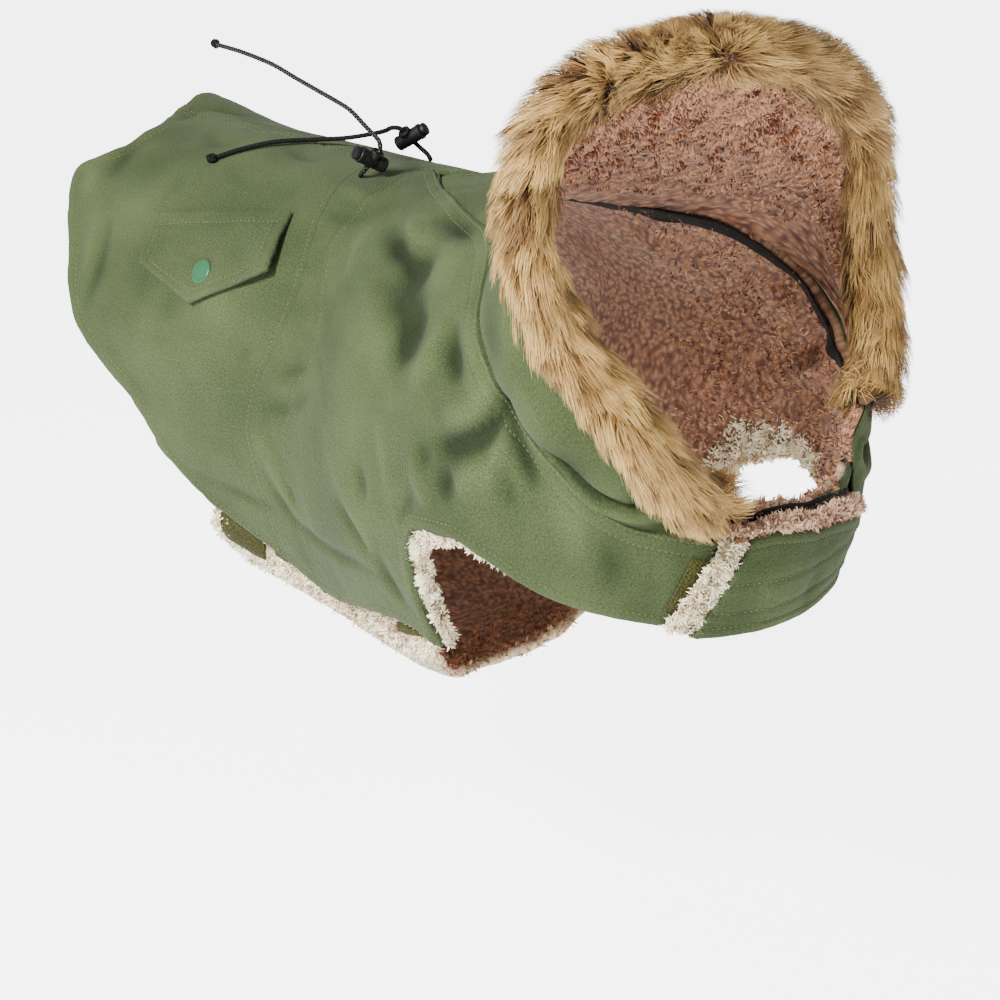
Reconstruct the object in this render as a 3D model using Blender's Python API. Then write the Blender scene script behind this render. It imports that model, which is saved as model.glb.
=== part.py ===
"""Hooded dog coat, worn open-bodied: canvas shell, sherpa lining, fur-trimmed hood, waist drawcord.

The wearer faces +X, its right side is -Y and +Z is up. The origin is on the underside of the
lining over the middle of the back, where the wearer carries the coat.

The tables and sizes are in millimetres and become metres when a vertex is placed.
The body is one wrapped surface. `run` goes forward along it: it is x along the back and sides up to
TURN_X, and then the arc round the chest. The angle goes round it: 0 at the crown of the back, 90 on
the right side and 180 under the belly, and it is negative on the left side.
"""

import math
from typing import Callable, NamedTuple

import bmesh
import bpy
import numpy as np
from mathutils import Matrix, Vector

MM = 0.001

# Cloth and how its layers lie, measured outwards from the surface of the shell
CANVAS = 1.2
LINING_FACE = -2.0
SHERPA = 4.0
TAPE_FACE = -7.2
TAPE = 1.0
PATCH = 1.1
FLAP_FACE = 2.3
FLAP = 1.5
CHEST_PATCH_FACE = 1.3
SEAM_GAP = 0.4

# Body
TURN_X = 150.0
TURN_RADIUS = 120.0
FRONT_RUN = TURN_X + TURN_RADIUS * math.pi / 2
KEEL_FULLNESS = 0.8
WAIST_BACK_SEAM = -28.0
WAIST_FRONT_SEAM = -8.0
WAIST_PULL_SPREAD = 55.0
NECK_START = 12.0
LINING_HEM_INSET = 6.0
RUMP_PUFF = 12.0
RUMP_PUFF_AT = (-219.0, 35.0)
RUMP_PUFF_SPREAD = (45.0, 28.0)

# Chest closure: the left front laps over the right one, which dips under it. Both by the right run.
LAP_RISE = 8.5
LAP_FULL, LAP_NONE = 305.0, 395.0
CHEST_SQUEEZE, CHEST_SQUEEZE_RUN, CHEST_SQUEEZE_SPREAD = 0.05, 250.0, 50.0
LEFT_LINING_REACH = 9.0

# Hood and its trim
TRIM_RADIUS = 17.5
TRIM_CLEAR = 0.7
TRIM_ENDS = {1: 284.0, -1: 264.0}
RIGHT_HOOD_END = 276.0
LEFT_HOOD_END = 260.0
TAPE_WIDTH = 5.5

# Belly panel
BELLY_FACE, BELLY_OUT = -9.6, 8.2
BELLY_ANGLE = 127.0
BELLY_PATCH_RUNS = (-64.0, 85.0)
BELLY_PATCH_ANGLES = (127.6, 133.625, 140.25)
BELLY_PATCH_HALF = 11.0

# Hardware
STUD_RADIUS, STUD_HEIGHT = 6.6, 2.6
STUD_AT = (-77.0, 61.5)
CORD_RADIUS = 1.3
BARREL_RADIUS, BARREL_LENGTH = 4.1, 16.5
PLUNGER_RADIUS, PLUNGER_LENGTH = 3.6, 2.6
COLLAR_RADIUS, COLLAR_LENGTH = 3.2, 6.6
CORD_HOLE_RADIUS = 2.45
KNOT_RADIUS = 2.7


class Section(NamedTuple):
    """One upright section of the body, at its widest, its crown and its keel."""

    run: float
    half_width: float
    widest_z: float
    crown_z: float
    keel_z: float


class Edge(NamedTuple):
    """A point of a cut edge: how far forward it is and at what angle round the body."""

    run: float
    angle: float


class RingPoint(NamedTuple):
    """A point of the hood opening's right half, and the neck seam's run that it hangs from."""

    seam_run: float
    x: float
    y: float
    z: float


SECTIONS = (
    Section(-214, 103, -88, 15.5, -191),
    Section(-120, 109, -91, 12.5, -217),
    Section(-60, 108, -93, 8.5, -235),
    Section(-20, 107, -95, 6.5, -245),
    Section(20, 111, -96, 5.5, -253),
    Section(70, 120, -95, 9.5, -257),
    Section(150, 130, -91, 18.5, -249),
    Section(180, 132, -91, 24.5, -243),
    Section(215, 132, -97, 24.5, -243),
    Section(255, 129, -109, 14.5, -245),
    Section(295, 125, -121, 4.5, -247),
    Section(FRONT_RUN, 122, -126.5, 0.5, -249),
)

# How far the drawcord pulls the cloth forward at the waist, by the angle round the body
WAIST_PULL = ((0, 0), (24, 18), (41, 29), (62, 39), (77, 34), (92, 22), (102, 14), (125, 16), (180, 16))

REAR_HEM_RIGHT = (
    Edge(-205, 0), Edge(-190, 18), Edge(-197, 31), Edge(-213, 41), Edge(-197, 56), Edge(-183, 67),
    Edge(-175, 79), Edge(-167, 87), Edge(-142, 97), Edge(-118, 104), Edge(-101, 115),
    Edge(-88, 121), Edge(-78, 125), Edge(-58, 129), Edge(-40, 132),
)
REAR_HEM_LEFT = (
    Edge(-205, 0), Edge(-219, 20), Edge(-217, 40), Edge(-200, 56), Edge(-184, 67),
    Edge(-175, 79), Edge(-167, 87), Edge(-142, 97), Edge(-118, 104), Edge(-101, 115),
    Edge(-88, 121), Edge(-78, 125), Edge(-58, 129), Edge(-40, 132),
)
NECK_RIGHT = (
    Edge(12, 0.2), Edge(34, 10), Edge(78, 22.5), Edge(134, 37), Edge(157, 52.5), Edge(171, 65),
    Edge(185, 75), Edge(196, 81.5), Edge(214, 90), Edge(231, 95.5), Edge(248, 97.5),
    Edge(275, 97), Edge(298, 95), Edge(338, 90), Edge(380, 92), Edge(428, 97),
)
NECK_LEFT = (
    Edge(12, 0.2), Edge(34, 10), Edge(78, 22.5), Edge(134, 37), Edge(157, 52.5), Edge(171, 65),
    Edge(185, 75), Edge(196, 83), Edge(214, 94), Edge(231, 102), Edge(246, 106.5),
    Edge(260, 107.5), Edge(290, 104), Edge(338, 97), Edge(358, 96), Edge(379, 97), Edge(404, 98),
)
BELLY_AND_NOTCH = (
    Edge(-112, 107), Edge(-101, 115), Edge(-88, 121), Edge(-78, 125), Edge(-58, 129), Edge(-40, 132),
    Edge(-28, 134), Edge(-8, 139), Edge(20, 139), Edge(50, 137), Edge(97, 137.5),
    Edge(110, 141), Edge(112.5, 126), Edge(118, 113), Edge(128, 108.5), Edge(155, 108.5),
    Edge(172, 111.5), Edge(187, 115), Edge(204, 118),
)
LOWER_RIGHT = (
    *BELLY_AND_NOTCH, Edge(240, 120), Edge(281, 120.5), Edge(338, 121), Edge(404, 119), Edge(428, 117),
)
LOWER_LEFT = (*BELLY_AND_NOTCH, Edge(240, 118.5), Edge(290, 116), Edge(338, 116), Edge(404, 119.5))
# How much further the lining reaches below the shell's lower edge
LINING_REACH = (
    Edge(-60, -1.5), Edge(60, -1.0), Edge(97, -0.5), Edge(110, 0.3), Edge(112.5, 1.2), Edge(118, 3.0),
    Edge(128, 3.4), Edge(155, 2.4), Edge(187, 1.2), Edge(300, 1.0), Edge(428, 1.0),
)
# How far it reaches forward into the leg notch, and how much deeper it lies there
NOTCH_REACH = ((90, 0), (97, 0.5), (110, 3.5), (118, 3.5), (128, 1.0), (144, 0))
NOTCH_DEPTH = ((90, 0), (97, 0.6), (110, 1.6), (118, 1.4), (128, 0.5), (144, 0))
HOOD_OPENING_RIGHT = (
    RingPoint(12, 222, 0, 84.5),
    RingPoint(34, 213, -25, 84.5),
    RingPoint(56, 209, -50, 81.5),
    RingPoint(84, 204, -78, 74.5),
    RingPoint(108, 202, -95, 64.5),
    RingPoint(130, 200, -108, 52.5),
    RingPoint(145, 204, -118, 36.5),
    RingPoint(159, 208, -124, 11.5),
    RingPoint(175, 215, -122, -16),
    RingPoint(192, 227, -117, -38),
    RingPoint(212, 243, -109, -59),
    RingPoint(230, 256, -98, -82.5),
    RingPoint(248, 261, -82, -101),
    RingPoint(266, 265, -65, -111.5),
    RingPoint(284, 271, -47, -114),
)
HOOD_OPENING_LEFT = (
    RingPoint(12, 222, 0, 84.5),
    RingPoint(34, 226, 28, 79.5),
    RingPoint(56, 226, 56, 69),
    RingPoint(84, 220, 82, 54),
    RingPoint(108, 214, 98, 41),
    RingPoint(130, 209, 108, 27),
    RingPoint(145, 207, 113, 12),
    RingPoint(159, 208, 115, -6),
    RingPoint(175, 212, 114, -25),
    RingPoint(192, 218, 110, -44),
    RingPoint(212, 226, 103, -62),
    RingPoint(230, 233, 93, -80),
    RingPoint(248, 237, 80, -95),
    RingPoint(266, 241, 65, -105),
)
# The hood's swell outwards from the straight line between seam and opening, by the seam's run
HOOD_SWELL = ((12, -16), (78, -10), (134, 0), (160, 7), (196, 9), (231, 5), (270, 0))

# The lines of corners across a front panel, each from the neck edge to the lower edge
NECK_RUNS = (
    -8, 12, 34, 56, 78, 97, 116, 134, 146, 157, 171, 185, 196, 214, 231, 246, 260, 276, 304, 334,
)
LOWER_RUNS = (
    -8, 12, 34, 56, 78, 97, 110, 112.5, 118, 128, 144, 160, 176, 194, 212, 231, 248, 266, 294, 324,
)
RIGHT_END_RUNS = ((360, 352), (383, 376), (405, 400), (428, 428))
LEFT_END_RUNS = ((356, 364), (379, 404))
REAR_COLUMNS, ROWS = 9, 12
HOOD_ROWS = 6

# Rear and front edge of the belly panel, by the angle: from the right flap over the keel to the left
BELLY_ENDS = (
    (127, -76, 106), (140, -88, 100), (152, -86, 88), (180, -84, 70), (208, -84, 72), (220, -80, 86),
    (233, -70, 98),
)

# Pocket flap: the run and angle of its corners
FLAP_TOP = (Edge(-121, 48.6), Edge(-46.7, 37.4))
FLAP_LOWER = ((0.0, Edge(-118.6, 59)), (0.56, Edge(-77, 71.4)), (1.0, Edge(-44, 55.5)))
FLAP_LIFT = 1.6

CHEST_PATCH = (Edge(277, 106), Edge(296, 106), Edge(261, 118.3), Edge(280, 118.3))

# The drawcord's two ends, each from its buttonhole through its lock to its knot
NEAR_CORD = (
    (-13.2, -30.6, 3.5), (-10.6, -32.6, 4.9), (-5.6, -34.0, 7.8), (-1.2, -33.0, 13.1),
    (3.7, -31.8, 19.0), (1.4, -30.5, 23.2), (-4.9, -29.3, 26.2), (-12.5, -28.0, 29.6),
    (-26.1, -26.0, 36.0), (-41.0, -24.0, 39.7), (-59.0, -21.0, 43.2), (-81.6, -17.0, 47.5),
    (-104.8, -13.0, 52.1), (-138.7, -6.0, 55.2), (-169.5, 1.3, 56.2),
)
FAR_CORD = (
    (-14.0, 20.0, 6.5), (-21.5, 24.5, 8.2), (-29.0, 25.8, 11.0), (-31.0, 20.5, 16.5),
    (-31.8, 15.2, 21.4), (-36.5, 12.6, 21.8), (-44.0, 12.0, 19.0), (-61.8, 5.0, 14.8),
    (-78.0, -4.0, 12.9), (-92.0, -22.0, 12.0), (-103.0, -37.0, 8.4), (-111.0, -48.5, 4.2),
)
CORD_POINTS = 44
# Each lock's place on its cord, and which way its barrel's button points
NEAR_LOCK = ((-1.2, -33.0, 13.1), (-0.324, -0.837, 0.441))
FAR_LOCK = ((-31.0, 20.5, 16.5), (0.78, 0.452, 0.435))


def clear_scene() -> None:
    """Removes every object that the file opened with."""
    for obj in list(bpy.data.objects):
        bpy.data.objects.remove(obj, do_unlink=True)


def smooth_table(rows: list[tuple[float, float]]) -> Callable[[float], float]:
    """A curve through (position, value) rows with no overshoot between them."""
    at = np.array([row[0] for row in rows], float)
    value = np.array([row[1] for row in rows], float)
    step = np.diff(at)
    slope = np.diff(value) / step
    tangent = np.concatenate([slope[:1], np.zeros(len(at) - 2), slope[-1:]])
    for i in range(1, len(at) - 1):
        if slope[i - 1] * slope[i] > 0:
            before, after = 2 * step[i] + step[i - 1], step[i] + 2 * step[i - 1]
            tangent[i] = (before + after) / (before / slope[i - 1] + after / slope[i])

    def read(position: float) -> float:
        x = min(max(position, at[0]), at[-1])
        i = min(max(int(np.searchsorted(at, x)) - 1, 0), len(step) - 1)
        t = (x - at[i]) / step[i]
        start = (1 + 2 * t) * (1 - t) ** 2 * value[i] + t * (1 - t) ** 2 * step[i] * tangent[i]
        end = t * t * (3 - 2 * t) * value[i + 1] + t * t * (t - 1) * step[i] * tangent[i + 1]
        return float(start + end)

    return read


def edge_table(edge: tuple[Edge, ...]) -> Callable[[float], float]:
    """The angle of a cut edge, read by its run."""
    return smooth_table([(point.run, point.angle) for point in edge])


def hem_table(edge: tuple[Edge, ...]) -> Callable[[float], float]:
    """The run of the rear hem, read by its angle."""
    return smooth_table([(point.angle, point.run) for point in edge])


half_width, widest_z, crown_z, keel_z = (
    smooth_table([(section.run, section[column]) for section in SECTIONS]) for column in range(1, 5)
)
waist_pull = smooth_table(list(WAIST_PULL))
rear_hem = {1: hem_table(REAR_HEM_RIGHT), -1: hem_table(REAR_HEM_LEFT)}
neck_edge = {1: edge_table(NECK_RIGHT), -1: edge_table(NECK_LEFT)}
lower_edge = {1: edge_table(LOWER_RIGHT), -1: edge_table(LOWER_LEFT)}
lining_reach = edge_table(LINING_REACH)
notch_reach = smooth_table(list(NOTCH_REACH))
notch_depth = smooth_table(list(NOTCH_DEPTH))
hood_swell = smooth_table(list(HOOD_SWELL))
ring_tables = {
    side: [smooth_table([(point.seam_run, point[column]) for point in table]) for column in range(1, 4)]
    for side, table in ((1, HOOD_OPENING_RIGHT), (-1, HOOD_OPENING_LEFT))
}


def skin(run: float, angle: float) -> np.ndarray:
    """The shell's outer surface, before any layer is moved out or in."""
    mirrored = min(run, 2 * FRONT_RUN - run)
    theta = math.radians(abs(angle))
    side = math.copysign(1, angle)
    half_height = crown_z(mirrored) - widest_z(mirrored)
    reach = math.sin(theta)
    if theta > math.pi / 2:
        half_height = widest_z(mirrored) - keel_z(mirrored)
        reach = max(reach, 0.0) ** KEEL_FULLNESS
    radius = half_width(mirrored) * reach
    left_run = run if side < 0 else 2 * FRONT_RUN - run
    radius *= 1 - CHEST_SQUEEZE * math.exp(-(((left_run - CHEST_SQUEEZE_RUN) / CHEST_SQUEEZE_SPREAD) ** 2))
    z = widest_z(mirrored) + half_height * math.cos(theta)
    turn = max(run - TURN_X, 0.0) / TURN_RADIUS
    x = min(run, TURN_X) + math.sin(turn) * radius
    y = -side * math.cos(turn) * radius
    if run < TURN_X:
        x += waist_pull(abs(angle)) * math.exp(-(((run + 20) / WAIST_PULL_SPREAD) ** 2))
    if theta < math.pi / 2:
        far_x = (x - RUMP_PUFF_AT[0]) / RUMP_PUFF_SPREAD[0]
        far_y = (y - RUMP_PUFF_AT[1]) / RUMP_PUFF_SPREAD[1]
        z += RUMP_PUFF * math.exp(-far_x * far_x - far_y * far_y)
    return np.array([x, y, z])


def raised(surface: Callable[[float, float], np.ndarray], a: float, b: float, out: float) -> np.ndarray:
    """The point of a surface at (a, b), moved `out` along its outward normal."""
    step = 0.2
    along = surface(a + step, b) - surface(a - step, b)
    around = surface(a, b + step) - surface(a, b - step)
    normal = np.cross(around, along)
    return surface(a, b) + normal / np.linalg.norm(normal) * out


def body(run: float, angle: float, out: float = 0.0) -> np.ndarray:
    """A point on the body's surface, moved out along its normal."""
    return raised(skin, run, angle, out)


def lap(side: int, run: float) -> float:
    """How far out a front lies, so that the left one laps over the right one."""
    right_run = run if side > 0 else 2 * FRONT_RUN - run
    t = min(max((LAP_NONE - right_run) / (LAP_NONE - LAP_FULL), 0.0), 1.0)
    rise = LAP_RISE * t * t * (3 - 2 * t)
    return rise if side < 0 else min(rise - LAP_RISE, 0.0)


def opening(side: int, seam_run: float) -> np.ndarray:
    """A point on the middle line of the hood's trim."""
    return np.array([table(seam_run) for table in ring_tables[side]])


def hood_skin(side: int) -> Callable[[float, float], np.ndarray]:
    """The hood's outer surface on one side, by the neck seam's run and the way up to the trim."""

    def read(run: float, way: float) -> np.ndarray:
        run = max(run, NECK_START)
        angle = neck_edge[side](run) - math.degrees(SEAM_GAP / 120)
        start = body(run, side * max(angle, 0.1), lap(side, run))
        ring = opening(side, run)
        reach = np.linalg.norm(ring - start)
        end = ring + (start - ring) / reach * (TRIM_RADIUS + TRIM_CLEAR)
        inside = np.array([110.0, 0.0, -20.0])
        swell = start + (end - start) * 0.5 - inside
        swell[0] = 0.0
        swell /= np.linalg.norm(swell)
        return start + (end - start) * way + swell * hood_swell(run) * 4 * way * (1 - way)

    return read


hood_surface = {1: hood_skin(1), -1: hood_skin(-1)}
trim_line = {
    side: np.array([
        opening(side, run) for run in np.linspace(NECK_START, trim_end, 80)
    ])
    for side, trim_end in TRIM_ENDS.items()
}


def hood(side: int, run: float, way: float, out: float) -> np.ndarray:
    """A point on the hood, moved out along its normal; `way` is 0 at the neck and 1 at the trim."""
    run = max(run, NECK_START + 0.5)
    surface = hood_surface[side]
    along = surface(run + 0.4, way) - surface(run - 0.4, way)
    upwards = surface(run, min(way + 0.01, 1)) - surface(run, max(way - 0.01, 0))
    normal = np.cross(along, upwards) * side
    return clear_of_trim(surface(run, way) + normal / np.linalg.norm(normal) * out, side)


def clear_of_trim(point: np.ndarray, side: int) -> np.ndarray:
    """Moves a point that would lie in the trim straight out of it."""
    middle = trim_line[side]
    start, step = middle[:-1], np.diff(middle, axis=0)
    share = np.einsum("ij,ij->i", point - start, step) / np.einsum("ij,ij->i", step, step)
    nearest = start + np.clip(share, 0, 1)[:, None] * step
    away = point - nearest
    gaps = np.linalg.norm(away, axis=1)
    i = int(gaps.argmin())
    clear = TRIM_RADIUS + TRIM_CLEAR
    return point if gaps[i] >= clear else nearest[i] + away[i] / gaps[i] * clear


def shaded(name: str, colour: tuple[float, float, float], roughness: float, metallic: float = 0.0):
    """A plain material."""
    material = bpy.data.materials.new(name)
    material.use_nodes = True
    shader = material.node_tree.nodes["Principled BSDF"]
    shader.inputs["Base Color"].default_value = (*colour, 1.0)
    shader.inputs["Roughness"].default_value = roughness
    shader.inputs["Metallic"].default_value = metallic
    return material


def finish(bm: bmesh.types.BMesh, name: str, material, sharp: float = 40.0) -> bpy.types.Object:
    """Makes the object of a finished bmesh."""
    bmesh.ops.recalc_face_normals(bm, faces=bm.faces[:])
    if bm.calc_volume(signed=True) < 0:
        bmesh.ops.reverse_faces(bm, faces=bm.faces[:])
    mesh = bpy.data.meshes.new(name)
    bm.to_mesh(mesh)
    bm.free()
    mesh.shade_smooth()
    mesh.set_sharp_from_angle(angle=math.radians(sharp))
    mesh.materials.append(material)
    obj = bpy.data.objects.new(name, mesh)
    bpy.context.collection.objects.link(obj)
    return obj


def cloth(name: str, across: int, along: int, place: Callable[[float, float, int], np.ndarray], material):
    """A cloth wall: a flat slab of across x along quads, each corner moved to place(u, v, layer)."""
    bm = bmesh.new()
    bmesh.ops.create_grid(bm, x_segments=across, y_segments=along, size=0.5)
    bmesh.ops.translate(bm, verts=bm.verts[:], vec=(0.5, 0.5, 0.0))
    extruded = bmesh.ops.extrude_face_region(bm, geom=bm.faces[:], use_keep_orig=True)
    inner = [item for item in extruded["geom"] if isinstance(item, bmesh.types.BMVert)]
    bmesh.ops.translate(bm, verts=inner, vec=(0.0, 0.0, 1.0))
    for vert in bm.verts:
        vert.co = Vector(place(vert.co.x, vert.co.y, round(vert.co.z))) * MM
    return finish(bm, name, material)


def body_stations(side: int) -> tuple[list[float], list[float]]:
    """The runs of the corner lines over one side, from the hem on, at the top and at the bottom."""
    ends = RIGHT_END_RUNS if side > 0 else LEFT_END_RUNS
    top = [*NECK_RUNS, *(run for run, _ in ends)]
    bottom = [*LOWER_RUNS, *(run for _, run in ends)]
    return top, bottom


def rear_point(side: int, u: float, v: float, inset: float, out: float) -> np.ndarray:
    """A point of the rear, by the share of the way from hem to waist and from crown to lower edge."""
    angle = max(lower_edge[side](WAIST_BACK_SEAM) * v, 0.12)
    hem = rear_hem[side](angle)
    waist = WAIST_BACK_SEAM - SEAM_GAP / 2
    if u == 0:
        hem += inset
    return body(hem + (waist - hem) * u, side * angle, out)


def front_point(side: int, i: int, v: float, insets: tuple[float, float], out: float) -> np.ndarray:
    """A point of the front, on corner line i, `v` of the way from the neck edge to the lower edge."""
    tops, bottoms = body_stations(side)
    top, bottom = tops[i], bottoms[i]
    top_angle = neck_edge[side](top) if top >= NECK_START else 0.1
    bottom_angle = lower_edge[side](bottom)
    angle = top_angle + (bottom_angle - top_angle) * v
    angle += insets[0] if v == 0 else insets[1] if v == 1 else 0.0
    run = top + (bottom - top) * v
    return body(run, side * angle, out + lap(side, run))


def make_rear(side: int, name: str, material) -> None:
    """A rear panel, from the centre-back seam round to the lower edge, and hem to waist."""

    def place(u: float, v: float, layer: int) -> np.ndarray:
        return rear_point(side, u, v, 0.0, -CANVAS * layer)

    cloth(name, REAR_COLUMNS, ROWS, place, material)


def make_waist_channel(material) -> None:
    """The drawcord's channel, one strip from lower edge to lower edge over the back."""

    def place(u: float, v: float, layer: int) -> np.ndarray:
        run = WAIST_BACK_SEAM + (WAIST_FRONT_SEAM - WAIST_BACK_SEAM) * u
        angle = lower_edge[1](run) * (1 - 2 * v)
        return body(run, angle if abs(angle) > 0.01 else 0.01, -CANVAS * layer)

    cloth("waist_channel", 2, 2 * ROWS, place, material)


def make_front(side: int, name: str, material) -> None:
    """A front panel: shoulder, belly flap, leg notch and chest flap in one."""
    lines = len(body_stations(side)[0])

    def place(u: float, v: float, layer: int) -> np.ndarray:
        i = round(u * (lines - 1))
        point = front_point(side, i, v, (0.1, 0.0), -CANVAS * layer)
        if i == 0:
            beyond = front_point(side, 1, v, (0.1, 0.0), -CANVAS * layer) - point
            point += beyond / np.linalg.norm(beyond) * SEAM_GAP
        return point

    cloth(name, lines - 1, ROWS, place, material)


def make_lining(side: int, name: str, material) -> None:
    """The sherpa behind a rear and a front panel, in one."""
    bottoms = body_stations(side)[1]
    across = REAR_COLUMNS + len(bottoms)

    def place(u: float, v: float, layer: int) -> np.ndarray:
        step = round(u * across)
        depth = LINING_FACE - SHERPA * layer
        if step <= REAR_COLUMNS:
            low = v if v < 1 else 0.988
            return rear_point(side, step / REAR_COLUMNS, max(low, 0.004), LINING_HEM_INSET, depth)
        i = step - REAR_COLUMNS - 1
        insets = (1.0, lining_reach(bottoms[i]))
        depth -= notch_depth(bottoms[i]) * min(max((v - 0.5) / 0.3, 0.0), 1.0)
        point = front_point(side, i, v, insets, depth)
        if v == 1:
            point[0] += notch_reach(bottoms[i])
        if side < 0 and i == len(bottoms) - 1:
            beyond = point - front_point(side, i - 1, v, insets, depth)
            point += beyond / np.linalg.norm(beyond) * LEFT_LINING_REACH
        return point

    cloth(name, across, ROWS, place, material)


def hood_stations(side: int) -> list[float]:
    """The runs of the neck seam that the hood's corner lines start from."""
    end = RIGHT_HOOD_END if side > 0 else LEFT_HOOD_END
    return [run for run in NECK_RUNS if NECK_START <= run < end - 4] + [end]


def make_hood(side: int, name: str, material) -> None:
    """A hood half, from the neck seam up to the trim."""
    runs = hood_stations(side)

    def place(u: float, v: float, layer: int) -> np.ndarray:
        point = hood(side, runs[round(u * (len(runs) - 1))], v, -CANVAS * layer)
        point[1] = -side * max(-side * point[1], SEAM_GAP / 2)
        return point

    cloth(name, len(runs) - 1, HOOD_ROWS, place, material)


def make_hood_lining(side: int, name: str, material) -> None:
    """The sherpa inside a hood half."""
    runs = hood_stations(side)[:-1]

    def place(u: float, v: float, layer: int) -> np.ndarray:
        way = 0.5 / HOOD_ROWS if v == 0 else 0.985 if v == 1 else v
        point = hood(side, runs[round(u * (len(runs) - 1))], way, LINING_FACE - SHERPA * layer)
        point[1] = -side * max(-side * point[1], SEAM_GAP)
        return point

    cloth(name, len(runs) - 1, HOOD_ROWS, place, material)


def make_neck_tape(side: int, name: str, material) -> None:
    """The tape that covers the neck seam inside."""
    runs = [*hood_stations(side)[1:-1], hood_stations(side)[-1] - 8]

    def place(u: float, v: float, layer: int) -> np.ndarray:
        run = runs[round(u * (len(runs) - 1))]
        angle = neck_edge[side](run) + 1.0 + TAPE_WIDTH * v
        return body(run, side * angle, TAPE_FACE - TAPE * layer + lap(side, run))

    cloth(name, len(runs) - 1, 1, place, material)


def belly(run: float, angle: float, out: float) -> np.ndarray:
    """A point of the belly panel's outer face, moved out; the angle goes on past 180 to the left."""
    around = angle if angle <= 180 else 360 - angle
    below = min(max((around - lower_edge[1](run) - 1.0) / 9.0, 0.0), 1.0) if angle <= 180 else 0.0
    fade = 1 - min(max((around - 155) / 25, 0.0), 1.0)
    rise = BELLY_OUT * below * below * (3 - 2 * below) * fade
    side = angle if angle < 179.9 else 179.9 if angle <= 180 else angle - 360
    return body(run, side, BELLY_FACE + rise + out)


def make_belly(sherpa, loop) -> None:
    """The belly panel under both flaps, and the patches of its closure on the right."""
    rear_end = smooth_table([(angle, rear) for angle, rear, _ in BELLY_ENDS])
    front_end = smooth_table([(angle, front) for angle, _, front in BELLY_ENDS])

    def place(u: float, v: float, layer: int) -> np.ndarray:
        angle = BELLY_ANGLE + (360 - 2 * BELLY_ANGLE) * v
        run = rear_end(angle) + (front_end(angle) - rear_end(angle)) * u
        return belly(run, angle, -SHERPA * layer)

    cloth("belly_panel", 8, 16, place, sherpa)
    for label, middle in zip(("rear", "front"), BELLY_PATCH_RUNS):

        def patch(u: float, v: float, layer: int, middle: float = middle) -> np.ndarray:
            run = middle + BELLY_PATCH_HALF * (2 * u - 1)
            return belly(run, BELLY_PATCH_ANGLES[round(2 * v)], 1.2 + PATCH * (1 - layer))

        cloth(f"belly_patch_{label}", 2, 2, patch, loop)


def make_chest_patch(loop) -> None:
    """The closure patch on the right front, half under the left one."""
    top_rear, top_front, low_rear, low_front = CHEST_PATCH

    def place(u: float, v: float, layer: int) -> np.ndarray:
        run = (1 - v) * (top_rear.run * (1 - u) + top_front.run * u)
        run += v * (low_rear.run * (1 - u) + low_front.run * u)
        angle = (1 - v) * top_rear.angle + v * low_rear.angle
        return body(run, angle, CHEST_PATCH_FACE - (PATCH - 0.1) * layer)

    cloth("chest_patch", 3, 4, place, loop)


def make_pocket(canvas, plastic) -> None:
    """The pocket flap on the right rear panel, and the cap of its press stud."""
    lower = [(share, edge) for share, edge in FLAP_LOWER]
    shares = [share for share, _ in lower]

    def place(u: float, v: float, layer: int) -> np.ndarray:
        top_run = FLAP_TOP[0].run + (FLAP_TOP[1].run - FLAP_TOP[0].run) * u
        top_angle = FLAP_TOP[0].angle + (FLAP_TOP[1].angle - FLAP_TOP[0].angle) * u
        low_run = float(np.interp(u, shares, [edge.run for _, edge in lower]))
        low_angle = float(np.interp(u, shares, [edge.angle for _, edge in lower]))
        run, angle = top_run + (low_run - top_run) * v, top_angle + (low_angle - top_angle) * v
        return body(run, angle, FLAP_FACE + FLAP_LIFT * v * v * abs(u - 0.3) - FLAP * layer)

    cloth("pocket_flap", 9, 4, place, canvas)

    run, angle = STUD_AT
    foot = body(run, angle, FLAP_FACE + 0.5)
    outward = Vector(body(run, angle, 10.0) - body(run, angle, 0.0)).normalized()
    bm = bmesh.new()
    bmesh.ops.create_cone(
        bm, cap_ends=True, segments=20, radius1=STUD_RADIUS * MM, radius2=STUD_RADIUS * 0.86 * MM,
        depth=STUD_HEIGHT * MM,
    )
    rim = [edge for edge in bm.edges if all(vert.co.z > 0 for vert in edge.verts)]
    bmesh.ops.bevel(bm, geom=rim, offset=1.1 * MM, segments=2, profile=0.5, affect="EDGES")
    turned = outward.to_track_quat("Z", "Y").to_matrix().to_4x4()
    centre = Vector(foot) * MM + outward * (STUD_HEIGHT / 2) * MM
    bmesh.ops.transform(bm, matrix=Matrix.Translation(centre) @ turned, verts=bm.verts[:])
    finish(bm, "press_stud", plastic)


def make_trim(material) -> None:
    """The fur round the hood's opening, as a plain tube of the hair's reach."""
    right = [opening(1, run) for run in np.linspace(TRIM_ENDS[1], NECK_START, 27)]
    left = [opening(-1, run) for run in np.linspace(NECK_START, TRIM_ENDS[-1], 25)][1:]
    tube("hood_trim", right + left, TRIM_RADIUS, 4, material)


def tube(name: str, points: list[np.ndarray], radius: float, resolution: int, material) -> None:
    """A round tube along a list of points, with filled ends."""
    data = bpy.data.curves.new(name, "CURVE")
    data.dimensions = "3D"
    data.bevel_depth = radius * MM
    data.bevel_resolution = resolution
    data.use_fill_caps = True
    spline = data.splines.new("POLY")
    spline.points.add(len(points) - 1)
    for slot, point in zip(spline.points, points):
        slot.co = (*(Vector(point) * MM), 1.0)
    data.materials.append(material)
    bpy.context.collection.objects.link(bpy.data.objects.new(name, data))


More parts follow.
